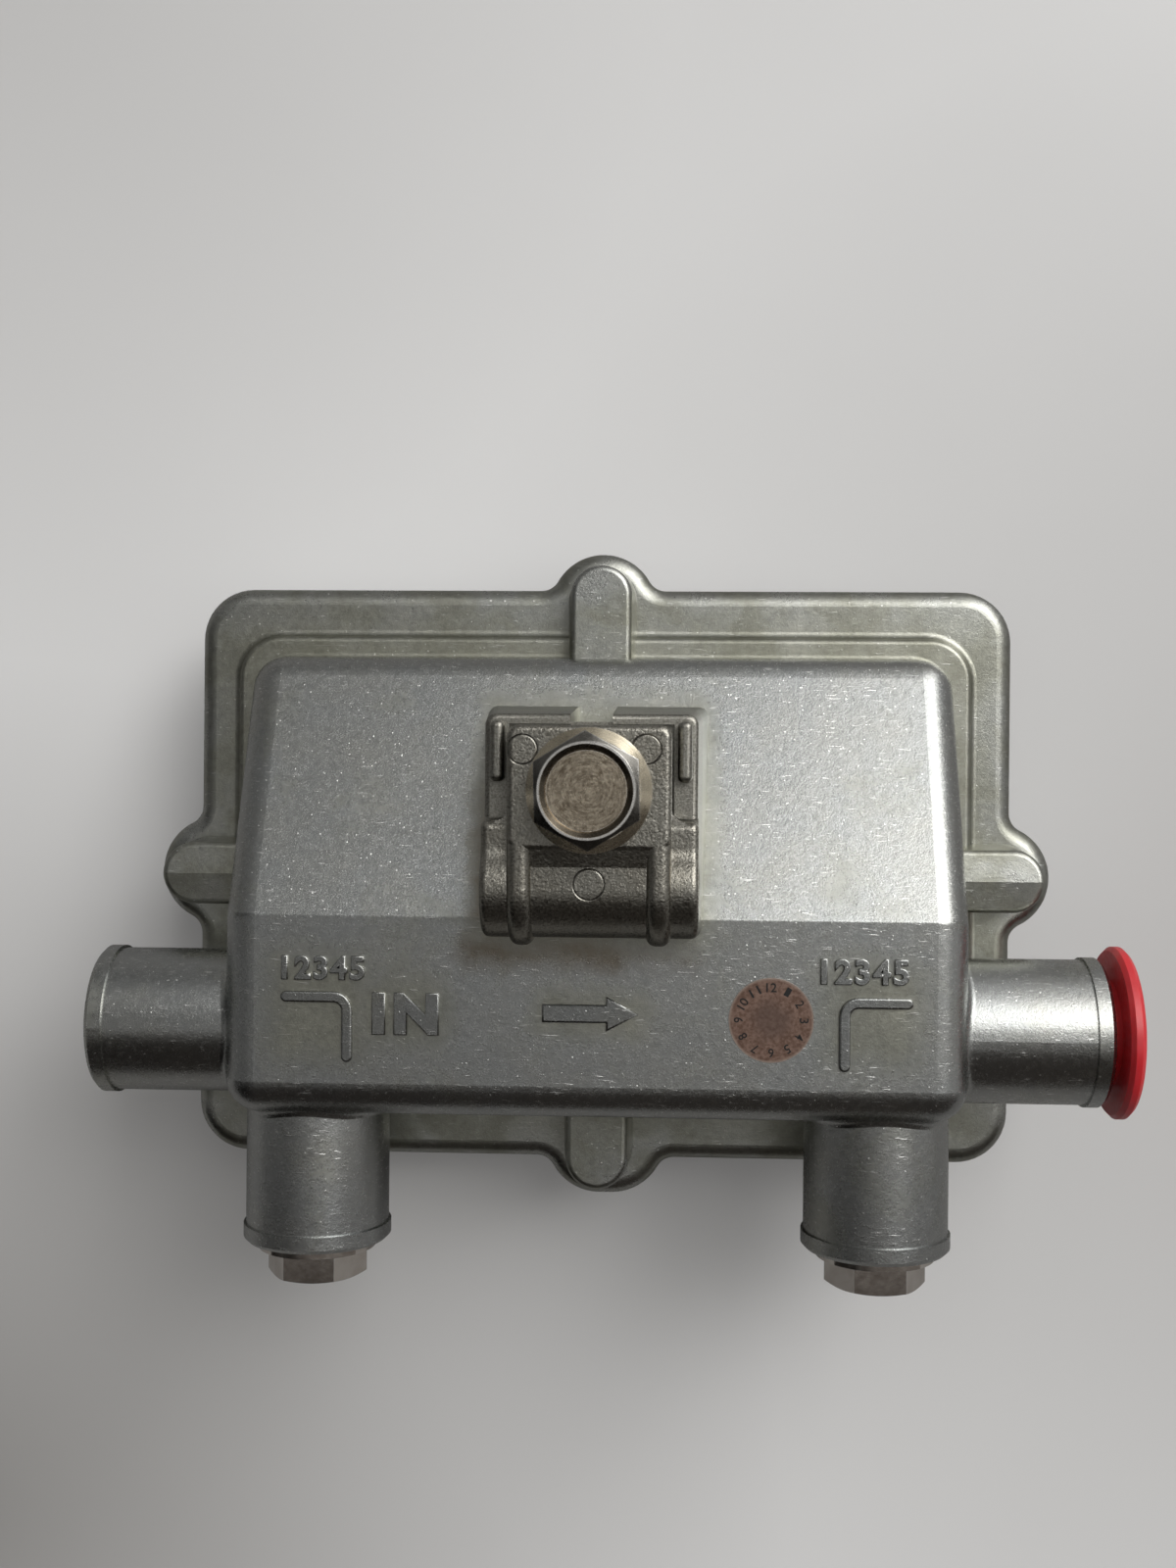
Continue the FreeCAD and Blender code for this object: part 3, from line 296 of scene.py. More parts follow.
def make_thread_group():
    """Height of a screw thread about an axis, from how far along it a point lies and its two offsets."""
    tree, given, result = new_group(
        "screw_thread", [("Along", FLOAT, 0.0), ("Across", FLOAT, 0.0), ("Up", FLOAT, 0.0),
                         ("Pitch", FLOAT, 0.001)], ["Height"])
    turn = maths(tree, "DIVIDE", maths(tree, "ARCTAN2", given["Up"], given["Across"]), 2 * math.pi)
    pitches = maths(tree, "DIVIDE", given["Along"], given["Pitch"])
    phase = maths(tree, "FRACT", maths(tree, "ADD", pitches, turn))
    tree.links.new(maths(tree, "PINGPONG", phase, 0.5), result["Height"])
    return tree


TUMBLED = make_tumbled_group()
WORN_EDGES = make_worn_edge_group()
CLOUDS = make_cloud_group()
SCRATCHES = make_scratch_group()
SAND = make_sand_group()
PATCH = make_patch_group()
PIN_RING = make_ring_group()
THREAD = make_thread_group()


def use(tree, group, **values):
    """Place a shader node group and set or feed its inputs; an underscore in a name stands for a space."""
    made = tree.nodes.new("ShaderNodeGroup")
    made.node_tree = group
    for key, value in values.items():
        socket = made.inputs[key.replace("_", " ")]
        if isinstance(value, bpy.types.NodeSocket):
            tree.links.new(value, socket)
        else:
            socket.default_value = value
    return made.outputs


def new_material(name, metallic=0.0, roughness=0.5, **constants):
    """A material with its Principled shader; constant sockets are set on the shader itself."""
    material = bpy.data.materials.new(name)
    material.use_nodes = True
    tree = material.node_tree
    tree.nodes.clear()
    shader = tree.nodes.new("ShaderNodeBsdfPrincipled")
    shader.inputs["Metallic"].default_value = metallic
    shader.inputs["Roughness"].default_value = roughness
    for key, value in constants.items():
        shader.inputs[key.replace("_", " ")].default_value = value
    add(tree, "ShaderNodeOutputMaterial", {"Surface": shader.outputs[0]})
    return material, tree, shader


def feed(tree, shader, colour, roughness, height=None, strength=0.3, distance=0.0002, metallic=None):
    """Link what varies over the surface to the shader, with the height as bump."""
    for key, value in (("Base Color", colour), ("Roughness", roughness), ("Metallic", metallic)):
        if value is not None:
            tree.links.new(value, shader.inputs[key])
    if height is not None:
        bump = add(tree, "ShaderNodeBump", {"Height": height, "Strength": strength, "Distance": distance})
        tree.links.new(bump.outputs[0], shader.inputs["Normal"])


# Colours of the castings, and the pin marks in the jaw as x, y and radius in millimetres

TUMBLED_DARK, TUMBLED_LIGHT = (0.32, 0.33, 0.325), (0.58, 0.59, 0.575)
TUMBLED_WARM, TUMBLED_BLUE = (0.47, 0.455, 0.40), (0.41, 0.43, 0.44)
OLIVE_DARK, OLIVE_LIGHT = (0.31, 0.307, 0.243), (0.49, 0.485, 0.395)
NICK_BRIGHT = (0.95, 0.95, 0.93)
STAIN_BROWN = (0.17, 0.125, 0.075)
JAW_DARK, JAW_LIGHT = (0.18, 0.175, 0.152), (0.45, 0.435, 0.39)
JAW_BROWN, JAW_WORN = (0.27, 0.24, 0.19), (0.66, 0.64, 0.59)
JAW_PIN_MARKS = ((-8.6, 18.5, 1.9), (7.3, 18.6, 1.9), (0.0, 1.2, 2.0))


# Finishes of the castings

def scaled(colour, level):
    return tuple(channel * level for channel in colour)


def cast_aluminium(name, sheltered=(), stains=(), shelter_level=None, pad_level=None, level=1.0,
                   edge_wear_and_highlight=0.0):
    """Die-cast aluminium: smooth olive skin in sheltered places, tumbled grey skin with nicks elsewhere."""
    material, tree, shader = new_material(name, metallic=1.0, roughness=0.4)
    dents = use(tree, TUMBLED, Dent_Size=0.30, Nick_Share=0.10)
    clouds = use(tree, CLOUDS, Patch_Size=8.0)
    drifts = use(tree, CLOUDS, Patch_Size=26.0)
    scratches = use(tree, SCRATCHES, Density=1.0, Turn=0.5)
    shelter = maths(tree, "MULTIPLY", clouds["Stain"], 0.4)
    if shelter_level is not None:
        height = add(tree, "ShaderNodeSeparateXYZ", {0: own_place(tree)}).outputs[2]
        sway = maths(tree, "MULTIPLY_ADD", clouds["Cloud"], 0.0016, height)
        below = remap(tree, sway, shelter_level, shelter_level + 0.0022, 1.0, 0.0)
        reach_x, reach_y = BOX_REACH
        inner = use(tree, PATCH, Centre=at(0.0, 0.0, shelter_level),
                    Half_Size=(reach_x * MM, reach_y * MM, 0.04), Softness=0.009)
        rubbed = maths(tree, "MULTIPLY_ADD", inner["Inside"], -0.55, 0.85)
        rubbed = maths(tree, "MULTIPLY", rubbed, remap(tree, clouds["Cloud"], 0.25, 0.75, 0.35, 1.0))
        below = maths(tree, "MULTIPLY", below, maths(tree, "SUBTRACT", 1.0, rubbed))
        shelter = maths(tree, "MAXIMUM", shelter, below)
    for centre, half, softness in sheltered:
        patch = use(tree, PATCH, Centre=centre, Half_Size=half, Softness=softness)
        shelter = maths(tree, "MAXIMUM", shelter, maths(tree, "MULTIPLY", patch["Inside"], 0.72))
    tumbled = maths(tree, "SUBTRACT", 1.0, shelter)
    grey = tint(tree, remap(tree, dents["Tone"], 0.28, 0.72), scaled(TUMBLED_DARK, level),
                scaled(TUMBLED_LIGHT, level))
    grey = tint(tree, maths(tree, "MULTIPLY", clouds["Cloud"], 0.4), grey, scaled(TUMBLED_WARM, level))
    grey = tint(tree, maths(tree, "MULTIPLY", drifts["Cloud"], 0.45), grey, scaled(TUMBLED_BLUE, level))
    olive = tint(tree, clouds["Cloud"], scaled(OLIVE_DARK, level), scaled(OLIVE_LIGHT, level))
    speck = remap(tree, dents["Tone"], 0.35, 0.65, 0.6, 0.0)
    olive = tint(tree, speck, olive, scaled(OLIVE_DARK, 0.6 * level))
    colour = tint(tree, tumbled, olive, grey)
    nicks = maths(tree, "MAXIMUM", dents["Nick"], scratches["Scratch"])
    nicks = maths(tree, "MULTIPLY", nicks, maths(tree, "MULTIPLY_ADD", tumbled, 0.8, 0.2))
    colour = tint(tree, maths(tree, "MULTIPLY", nicks, 0.75), colour, NICK_BRIGHT)
    if edge_wear_and_highlight:
        # Bright edges, partly wear and partly a painted highlight.
        worn = use(tree, WORN_EDGES, Reach=0.0004, Break_Up=0.35)["Worn"]
        colour = tint(tree, maths(tree, "MULTIPLY", worn, edge_wear_and_highlight), colour, NICK_BRIGHT)
    for centre, half, softness, share in stains:
        patch = use(tree, PATCH, Centre=centre, Half_Size=half, Softness=softness)
        blotch = maths(tree, "MULTIPLY", patch["Inside"], remap(tree, clouds["Cloud"], 0.2, 0.8, 0.35, 1.0))
        colour = tint(tree, maths(tree, "MULTIPLY", blotch, share), colour, STAIN_BROWN)
    rough = maths(tree, "MULTIPLY_ADD", shelter, 0.16, remap(tree, dents["Tone"], 0.3, 0.7, 0.20, 0.30))
    height = maths(tree, "MULTIPLY_ADD", scratches["Scratch"], 0.4, dents["Height"])
    height = maths(tree, "MULTIPLY", height, maths(tree, "MULTIPLY_ADD", tumbled, 0.3, 0.7))
    if pad_level is not None:
        place = add(tree, "ShaderNodeSeparateXYZ", {0: own_place(tree)}).outputs
        sand = use(tree, SAND, Grain_Size=0.30)
        raised = remap(tree, place[2], pad_level, pad_level + 0.0006)
        dark = tint(tree, sand["Grain"], JAW_DARK, JAW_LIGHT)
        colour = tint(tree, raised, colour, dark)
        rough = maths(tree, "MULTIPLY_ADD", raised, maths(tree, "SUBTRACT", 0.34, rough), rough)
    feed(tree, shader, colour, rough, height, 1.0, 0.000036)
    return material


def sand_cast(name):
    """Dark sand-textured casting of the clamp's jaw, worn bright on its crests, with painted shade in its pin
    grooves.
    """
    material, tree, shader = new_material(name, metallic=1.0, roughness=0.42)
    sand = use(tree, SAND, Grain_Size=0.30)
    worn = use(tree, WORN_EDGES, Reach=0.0006, Break_Up=0.3)["Worn"]
    clouds = use(tree, CLOUDS, Patch_Size=5.0)
    colour = tint(tree, sand["Grain"], JAW_DARK, JAW_LIGHT)
    colour = tint(tree, maths(tree, "MULTIPLY", clouds["Cloud"], 0.35), colour, JAW_BROWN)
    colour = tint(tree, maths(tree, "MULTIPLY", worn, 0.4), colour, JAW_WORN)
    height = sand["Height"]
    for x, y, radius in JAW_PIN_MARKS:
        groove = use(tree, PIN_RING, Centre=at(x, y), Radius=radius * MM, Width=0.00016)["Groove"]
        height = maths(tree, "MULTIPLY_ADD", groove, -1.8, height)
        # Painted shade: each pin groove is darkened in colour.
        colour = tint(tree, maths(tree, "MULTIPLY", groove, 0.7), colour, scaled(JAW_DARK, 0.4))
    feed(tree, shader, colour, remap(tree, sand["Grain"], 0.0, 1.0, 0.24, 0.38), height, 1.0, 0.000045)
    return material


# Finishes of turned and plated metal

def thread_height(tree, axis, centre, pitch):
    """Thread height about an upright axis (Z) or one that points to the front (Y)."""
    away = vectors(tree, "SUBTRACT", own_place(tree), tuple(centre))
    parts = add(tree, "ShaderNodeSeparateXYZ", {0: away}).outputs
    along, up = (parts[2], parts[1]) if axis == "Z" else (parts[1], parts[2])
    return use(tree, THREAD, Along=along, Across=parts[0], Up=up, Pitch=pitch)["Height"]


def brushed_bolt(name):
    """Plated steel, brushed in rings in the dish of its head, with brown and gold in the plating."""
    material, tree, shader = new_material(name, metallic=1.0, roughness=0.3)
    place = own_place(tree)
    away = vectors(tree, "SUBTRACT", place, (bolt_x, bolt_y, 0.0))
    radius = vectors(tree, "LENGTH", vectors(tree, "MULTIPLY", away, (1.0, 1.0, 0.0)), output=1)
    parts = add(tree, "ShaderNodeSeparateXYZ", {0: away}).outputs
    turn = maths(tree, "ARCTAN2", parts[1], parts[0])
    swirl = add(tree, "ShaderNodeCombineXYZ", {0: maths(tree, "MULTIPLY", radius, 3800.0),
                                               1: maths(tree, "MULTIPLY", turn, 2.6)}).outputs[0]
    rings = noise(tree, 1.0, 4.0, swirl, 0.65)
    grains = noise(tree, 1500.0, 3.0, roughness=0.7)
    height = add(tree, "ShaderNodeSeparateXYZ", {0: place}).outputs[2]
    in_dish = remap(tree, radius, (DISH_RADIUS - 0.1) * MM, (DISH_RADIUS + 0.1) * MM, 1.0, 0.0)
    top = remap(tree, height, bolt_high.z - 0.0003, bolt_high.z - 0.0001)
    past_dish = remap(tree, radius, (RIM_FROM - 0.05) * MM, (RIM_FROM + 0.05) * MM)
    before_chamfer = remap(tree, radius, (RIM_TO + 0.1) * MM, (RIM_TO - 0.1) * MM)
    on_rim = maths(tree, "MULTIPLY", maths(tree, "MULTIPLY", past_dish, before_chamfer), top)
    clouds = use(tree, CLOUDS, Patch_Size=4.0)
    worn = use(tree, WORN_EDGES, Reach=0.0003, Break_Up=0.35)["Worn"]
    steel = tint(tree, clouds["Cloud"], (0.13, 0.125, 0.115), (0.24, 0.23, 0.21))
    streaks = maths(tree, "MULTIPLY_ADD", rings, 0.75, maths(tree, "MULTIPLY", grains, 0.35))
    dish = tint(tree, remap(tree, streaks, 0.42, 0.72), (0.21, 0.165, 0.115), (0.66, 0.58, 0.46))
    head = remap(tree, height, bolt_flange_top + 0.0012, bolt_flange_top + 0.0014)
    colour = tint(tree, maths(tree, "MULTIPLY", in_dish, head), steel, dish)
    off_shank = remap(tree, radius, 0.0050, 0.0054)
    flange = maths(tree, "MULTIPLY", maths(tree, "SUBTRACT", 1.0, head), off_shank)
    colour = tint(tree, maths(tree, "MULTIPLY", flange, 0.8), colour, (0.80, 0.71, 0.54))
    rim = maths(tree, "MULTIPLY", on_rim, 0.85)
    bright = maths(tree, "MAXIMUM", maths(tree, "MULTIPLY", worn, 0.7), rim)
    colour = tint(tree, bright, colour, (0.9, 0.88, 0.84))
    thread = thread_height(tree, "Z", (bolt_x, bolt_y, 0.0), BOLT_THREAD_PITCH * MM)
    on_shank = remap(tree, height, jaw_high.z - 0.0006, jaw_high.z - 0.0002, 1.0, 0.0)
    brushed = maths(tree, "MULTIPLY_ADD", grains, 0.4, rings)
    bumps = maths(tree, "MULTIPLY_ADD", maths(tree, "MULTIPLY", thread, on_shank), 9.0, brushed)
    feed(tree, shader, colour, remap(tree, grains, 0.3, 0.7, 0.20, 0.34), bumps, 1.0, 0.00003)
    return material


def plated(name, dark, light, roughness=(0.2, 0.34), worn_colour=(0.85, 0.84, 0.8), thread=None):
    """Plated metal with faint clouds, scratches and brighter edges, threaded on request, with painted shade
    in the thread's roots.
    """
    material, tree, shader = new_material(name, metallic=1.0, roughness=0.25)
    clouds = use(tree, CLOUDS, Patch_Size=4.0)
    scratches = use(tree, SCRATCHES, Density=0.7, Turn=0.2)
    worn = use(tree, WORN_EDGES, Reach=0.0004, Break_Up=0.3)["Worn"]
    colour = tint(tree, clouds["Cloud"], dark, light)
    mask = maths(tree, "MAXIMUM", maths(tree, "MULTIPLY", scratches["Scratch"], 0.3),
                 maths(tree, "MULTIPLY", worn, 0.7))
    colour = tint(tree, mask, colour, worn_colour)
    fine = noise(tree, 900.0, 3.0)
    bumps = fine
    if thread:
        centre, pitch, start = thread
        along = add(tree, "ShaderNodeSeparateXYZ", {0: own_place(tree)}).outputs[1]
        on_nose = remap(tree, along, start, start + 0.0004)
        ridges = thread_height(tree, "Y", centre, pitch)
        bumps = maths(tree, "MULTIPLY_ADD", maths(tree, "MULTIPLY", ridges, on_nose), 14.0, fine)
        # Painted shade: the thread's roots are darkened in colour.
        painted_root_shade = maths(tree, "MULTIPLY", on_nose, remap(tree, ridges, 0.2, 0.0))
        colour = tint(tree, painted_root_shade, colour, scaled(dark, 0.4))
    feed(tree, shader, colour, remap(tree, fine, 0.3, 0.7, *roughness), bumps, 0.10, 0.00006)
    return material


# Finishes of plastic, rubber, film and the inner pieces

def soft_plastic(name, dark, light, roughness=(0.3, 0.45), coat=0.0, subsurface=0.0, bump=0.15):
    """Moulded plastic or rubber with a slight mottle and scuffed edges."""
    material, tree, shader = new_material(name, roughness=0.4, Coat_Weight=coat, Coat_Roughness=0.25,
                                          Subsurface_Weight=subsurface, Subsurface_Scale=0.001)
    clouds = use(tree, CLOUDS, Patch_Size=7.0)
    worn = use(tree, WORN_EDGES, Reach=0.0004, Break_Up=0.4)["Worn"]
    fine = noise(tree, 1200.0, 3.0)
    colour = tint(tree, clouds["Cloud"], dark, light)
    pale = tuple(min(1.0, channel * 1.25 + 0.04) for channel in light)
    colour = tint(tree, maths(tree, "MULTIPLY", worn, 0.35), colour, pale)
    feed(tree, shader, colour, remap(tree, fine, 0.3, 0.7, *roughness), fine, bump, 0.0001)
    return material


def label_film(name):
    """Copper-coloured metallic film, mottled and darker in its middle, with a bright rim."""
    material, tree, shader = new_material(name, metallic=0.8, roughness=0.35)
    centre = (label_low + label_high) / 2
    away = vectors(tree, "SUBTRACT", own_place(tree), tuple(centre))
    radius = vectors(tree, "LENGTH", away, output=1)
    wander = maths(tree, "MULTIPLY_ADD", noise(tree, 420.0, 4.0), 0.0024, -0.0012)
    middle = remap(tree, maths(tree, "ADD", radius, wander), 0.0016, 0.0034, 1.0, 0.0)
    rim = remap(tree, radius, (LABEL_RIM_FROM - 0.15) * MM, (LABEL_RIM_FROM + 0.15) * MM)
    grain = noise(tree, 2400.0, 2.0)
    colour = tint(tree, remap(tree, grain, 0.35, 0.65), (0.20, 0.12, 0.09), (0.33, 0.22, 0.175))
    colour = tint(tree, maths(tree, "MULTIPLY", middle, 0.55), colour, (0.15, 0.105, 0.09))
    colour = tint(tree, maths(tree, "MULTIPLY", rim, 0.7), colour, (0.52, 0.42, 0.36))
    feed(tree, shader, colour, remap(tree, grain, 0.3, 0.7, 0.28, 0.45), grain, 0.15, 0.00005)
    return material


def printed_ink(name, colour):
    """Matt printing ink, slightly uneven."""
    material, tree, shader = new_material(name)
    fine = noise(tree, 1500.0, 2.0)
    printed = tint(tree, fine, scaled(colour, 0.75), colour)
    feed(tree, shader, printed, remap(tree, fine, 0.3, 0.7, 0.5, 0.62), fine, 0.1, 0.00005)
    return material


def board_finish(name):
    """Green solder mask with a grid of tinned pads."""
    material, tree, shader = new_material(name, roughness=0.35)
    place = own_place(tree)
    grid = {"Vector": place, "Scale": 240.0, "Randomness": 0.35}
    pads = add(tree, "ShaderNodeTexVoronoi", grid, feature="F1").outputs["Distance"]
    pad = remap(tree, pads, 0.2, 0.24, 1.0, 0.0)
    tracks = {"Vector": place, "Scale": 120.0, "Mortar Size": 0.03}
    track = add(tree, "ShaderNodeTexBrick", tracks).outputs["Fac"]
    green = tint(tree, track, (0.012, 0.11, 0.045), (0.03, 0.2, 0.08))
    colour = tint(tree, pad, green, (0.6, 0.6, 0.58))
    feed(tree, shader, colour, remap(tree, pad, 0, 1, 0.35, 0.25), pad, 0.2, 0.0001, metallic=pad)
    return material


def wound_wire(name):
    """Enamelled copper wire of a coil."""
    material, tree, shader = new_material(name, metallic=0.9, roughness=0.3, Coat_Weight=0.5)
    fine = noise(tree, 800.0, 2.0)
    colour = tint(tree, fine, (0.42, 0.16, 0.07), (0.75, 0.34, 0.17))
    feed(tree, shader, colour, remap(tree, fine, 0.3, 0.7, 0.22, 0.36), fine, 0.1, 0.00005)
    return material


# Which finish each of the frame's own pieces gets

rib_top = parting + RIB_HEIGHT * MM
pad_foot = roof + PAD_STEP * MM
bolt_flange_top = jaw_high.z + BOLT_FLANGE_HEIGHT * MM

# Patches of smooth skin: centre, half size and softness
sheltered_places = [
    (at(-38.5, -17.3, roof), (4.2 * MM, 4.6 * MM, 0.003), 0.0055),
    (at(-26.5, -18.0, roof), (4.0 * MM, 2.2 * MM, 0.003), 0.0045),
    (at(-0.5, -17.75, roof), (6.0 * MM, 1.0 * MM, 0.003), 0.0038),
    (at(38.5, -17.3, roof), (4.2 * MM, 4.4 * MM, 0.003), 0.0055),
    (at(0.0, 9.0, roof), (14.5 * MM, 15.5 * MM, 0.02), 0.0045),
]
# Brown stains round the clamp: centre, half size, softness and strength
clamp_stains = [
    (at(-8.0, -9.5, roof), (9.0 * MM, 0.6 * MM, 0.004), 0.0030, 0.65),
    (at(8.0, -9.8, roof), (5.0 * MM, 0.4 * MM, 0.004), 0.0030, 0.55),
    (at(-15.8, 5.0, roof), (0.4 * MM, 9.0 * MM, 0.006), 0.0026, 0.55),
]
CAST_BODY = cast_aluminium("die_cast_skin", sheltered_places, clamp_stains, rib_top, pad_foot)
CAST_PLATE = cast_aluminium("die_cast_plate", level=0.95)
# The raised marks are darker than the roof, and their bright edges are partly wear and partly a painted
# highlight.
CAST_MARK = cast_aluminium("raised_mark_tops", level=0.72, edge_wear_and_highlight=0.35)
CAST_JAW = sand_cast("sand_cast_jaw")
BOLT = brushed_bolt("plated_bolt")
NICKEL = plated("warm_nickel", (0.52, 0.47, 0.42), (0.76, 0.70, 0.63))
PLUG_NICKEL = plated("threaded_nickel", (0.66, 0.60, 0.55), (0.90, 0.85, 0.79), (0.07, 0.16),
                     thread=(plug_centre, PORT_THREAD_PITCH * MM, plug_low.y + PLUG_NOSE_START * MM))
ZINC = plated("zinc_plate", (0.45, 0.46, 0.46), (0.66, 0.67, 0.66), (0.25, 0.4))
BRASS = plated("bare_brass", (0.5, 0.36, 0.15), (0.78, 0.6, 0.28), worn_colour=(0.95, 0.85, 0.6))
RED_CAP = soft_plastic("red_cap_plastic", (0.70, 0.030, 0.042), (0.86, 0.048, 0.060), coat=0.25,
                       subsurface=0.35)
RUBBER = soft_plastic("black_rubber", (0.018, 0.018, 0.019), (0.04, 0.04, 0.042), (0.55, 0.7))
INSULATOR = soft_plastic("white_insulator", (0.72, 0.72, 0.69), (0.83, 0.83, 0.8))
CAPACITOR = soft_plastic("capacitor_coat", (0.04, 0.11, 0.38), (0.06, 0.17, 0.5), coat=0.5)
FERRITE = soft_plastic("ferrite_core", (0.03, 0.03, 0.035), (0.065, 0.065, 0.07), (0.5, 0.65), bump=0.3)
BRAID = plated("woven_braid", (0.3, 0.3, 0.3), (0.55, 0.55, 0.54), (0.35, 0.5))
LABEL = label_film("copper_label_film")
INK = printed_ink("black_ink", (0.012, 0.011, 0.011))
BOARD = board_finish("green_board")
WIRE = wound_wire("enamelled_wire")

FINISHES = (("housing", CAST_BODY), ("face_plate", CAST_PLATE), ("clamp_jaw", CAST_JAW), ("clamp_bolt", BOLT),
            ("cover_bolt", ZINC), ("board_screw", ZINC), ("seizure_screw", ZINC), ("tap_port", NICKEL),
            ("port_plug", PLUG_NICKEL), ("tap_insulator", INSULATOR), ("seizure_block", INSULATOR),
            ("tap_contact", BRASS), ("seizure", BRASS), ("board_socket", BRASS), ("circuit_board", BOARD),
            ("choke_coil", WIRE), ("choke_core", FERRITE), ("coupler_core", FERRITE),
            ("line_capacitor", CAPACITOR), ("radio_gasket", BRAID), ("weather_gasket", RUBBER),
            ("plug_ring", RUBBER), ("port_cap", RED_CAP), ("round_label", LABEL))
for name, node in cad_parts.items():
    finish = next(material for start, material in FINISHES if name.startswith(start))
    node.data.materials.clear()
    node.data.materials.append(finish)


# Raised marks on the roof

def to_mesh(name, source):
    """The mesh of a curve or text object; the object itself is removed."""
    bpy.context.scene.collection.objects.link(source)
    bpy.context.view_layer.update()
    mesh = bpy.data.meshes.new_from_object(source.evaluated_get(bpy.context.evaluated_depsgraph_get()))
    data = source.data
    bpy.data.objects.remove(source)
    bpy.data.curves.remove(data)
    mesh.name = name
    return mesh


def settle(name, mesh, material, body="tap"):
    """Link a finished mesh as a piece that rides on a body."""
    mesh.materials.clear()
    mesh.materials.append(material)
    piece = bpy.data.objects.new(name, mesh)
    bpy.context.scene.collection.objects.link(piece)
    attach(piece, body)
    return piece


def raised_outline(name, points):
    """A flat outline in millimetres, raised from the roof with rounded top edges."""
    curve = bpy.data.curves.new(name, "CURVE")
    curve.dimensions = "2D"
    curve.fill_mode = "BOTH"
    curve.extrude = MARK_HEIGHT * MM
    curve.bevel_depth = MARK_ROUND * MM
    curve.bevel_resolution = 4
    curve.offset = -MARK_ROUND * MM
    line = curve.splines.new("POLY")
    line.points.add(len(points) - 1)
    for point, (x, y) in zip(line.points, points):
        point.co = (x * MM, y * MM, 0.0, 1.0)
    line.use_cyclic_u = True
    mesh = to_mesh(name, bpy.data.objects.new(name, curve))
    mesh.transform(Matrix.Translation(at(0, 0, roof - MARK_ROUND * MM)))
    return settle(name, mesh, CAST_MARK)


def arc(centre, radius, start, end, steps):
    """Points of an arc, its angles in degrees."""
    angles = [math.radians(start + (end - start) * step / steps) for step in range(steps + 1)]
    return [(centre[0] + radius * math.cos(angle), centre[1] + radius * math.sin(angle)) for angle in angles]


def gauge_outline(tail, corner, foot):
    """Outline of an angle mark: level arm, round turn and upright arm, with round ends."""
    side = 1 if corner[0] > tail[0] else -1
    half = GAUGE_WIDTH / 2
    turn = GAUGE_TURN_RADIUS
    centre = (0.0, 0.0)
    reach = abs(corner[0] - tail[0]) - turn
    drop = abs(corner[1] - foot[1]) - turn
    points = arc(centre, turn + half, 90, 0, 8)
    points += arc((turn, -drop), half, 0, -180, 8)
    points += arc(centre, turn - half, 0, 90, 6)
    points += arc((-reach, turn), half, 270, 90, 8)
    return [(corner[0] + side * (x - turn), corner[1] + y - turn) for x, y in points]


def arrow_outline():
    """Outline of the arrow, from its tail to its tip and back."""
    x, y = ARROW_TAIL
    length, width = ARROW_SHAFT
    head, span = ARROW_HEAD
    tip = x + length + head
    return [(x, y - width / 2), (x + length, y - width / 2), (x + length, y - span / 2), (tip, y),
            (x + length, y + span / 2), (x + length, y + width / 2), (x, y + width / 2)]


def text_mesh(name, words, height, width, thick, round_edge, spacing=1.0, embolden=0.0):
    """Words as a mesh that fills a block from its lower left corner, in metres."""
    curve = bpy.data.curves.new(name, "FONT")
    curve.body = words
    curve.size = 1.0
    curve.space_character = spacing
    curve.offset = embolden
    mesh = to_mesh(name + "_flat", bpy.data.objects.new(name, curve))
    flat = [vertex.co.copy() for vertex in mesh.vertices]
    low = Vector((min(co.x for co in flat), min(co.y for co in flat), 0))
    high = Vector((max(co.x for co in flat), max(co.y for co in flat), 0))
    bpy.data.meshes.remove(mesh)
    scale = height / (high.y - low.y)
    curve = bpy.data.curves.new(name, "FONT")
    curve.body = words
    curve.size = scale
    curve.space_character = spacing
    curve.offset = embolden * scale - 0.5 * round_edge
    curve.extrude = thick
    curve.bevel_depth = round_edge
    curve.bevel_resolution = 3
    mesh = to_mesh(name, bpy.data.objects.new(name, curve))
    stretch = width / ((high.x - low.x) * scale)
    mesh.transform(Matrix.Diagonal((stretch, 1.0, 1.0, 1.0)) @ Matrix.Translation(-low * scale))
    return mesh


def raised_words(name, words, block, spacing, embolden):
    """Words raised from the roof in their block."""
    x, y, width, height = block
    edge = WORD_EDGE * MM
    mesh = text_mesh(name, words, height * MM, width * MM, MARK_HEIGHT * MM, edge, spacing, embolden)
    mesh.transform(Matrix.Translation(at(x, y, roof - edge)))
    return settle(name, mesh, CAST_MARK)


for side, corners in GAUGES.items():
    raised_outline(f"gauge_mark_{side}", gauge_outline(*corners))
    raised_words(f"gauge_numbers_{side}", "12345", NUMBER_BLOCKS[side], 1.18, 0.038)
raised_outline("flow_arrow", arrow_outline())
raised_words("in_mark", "IN", IN_BLOCK, 1.25, 0.055)


# Threads and winding, one tree for all of them

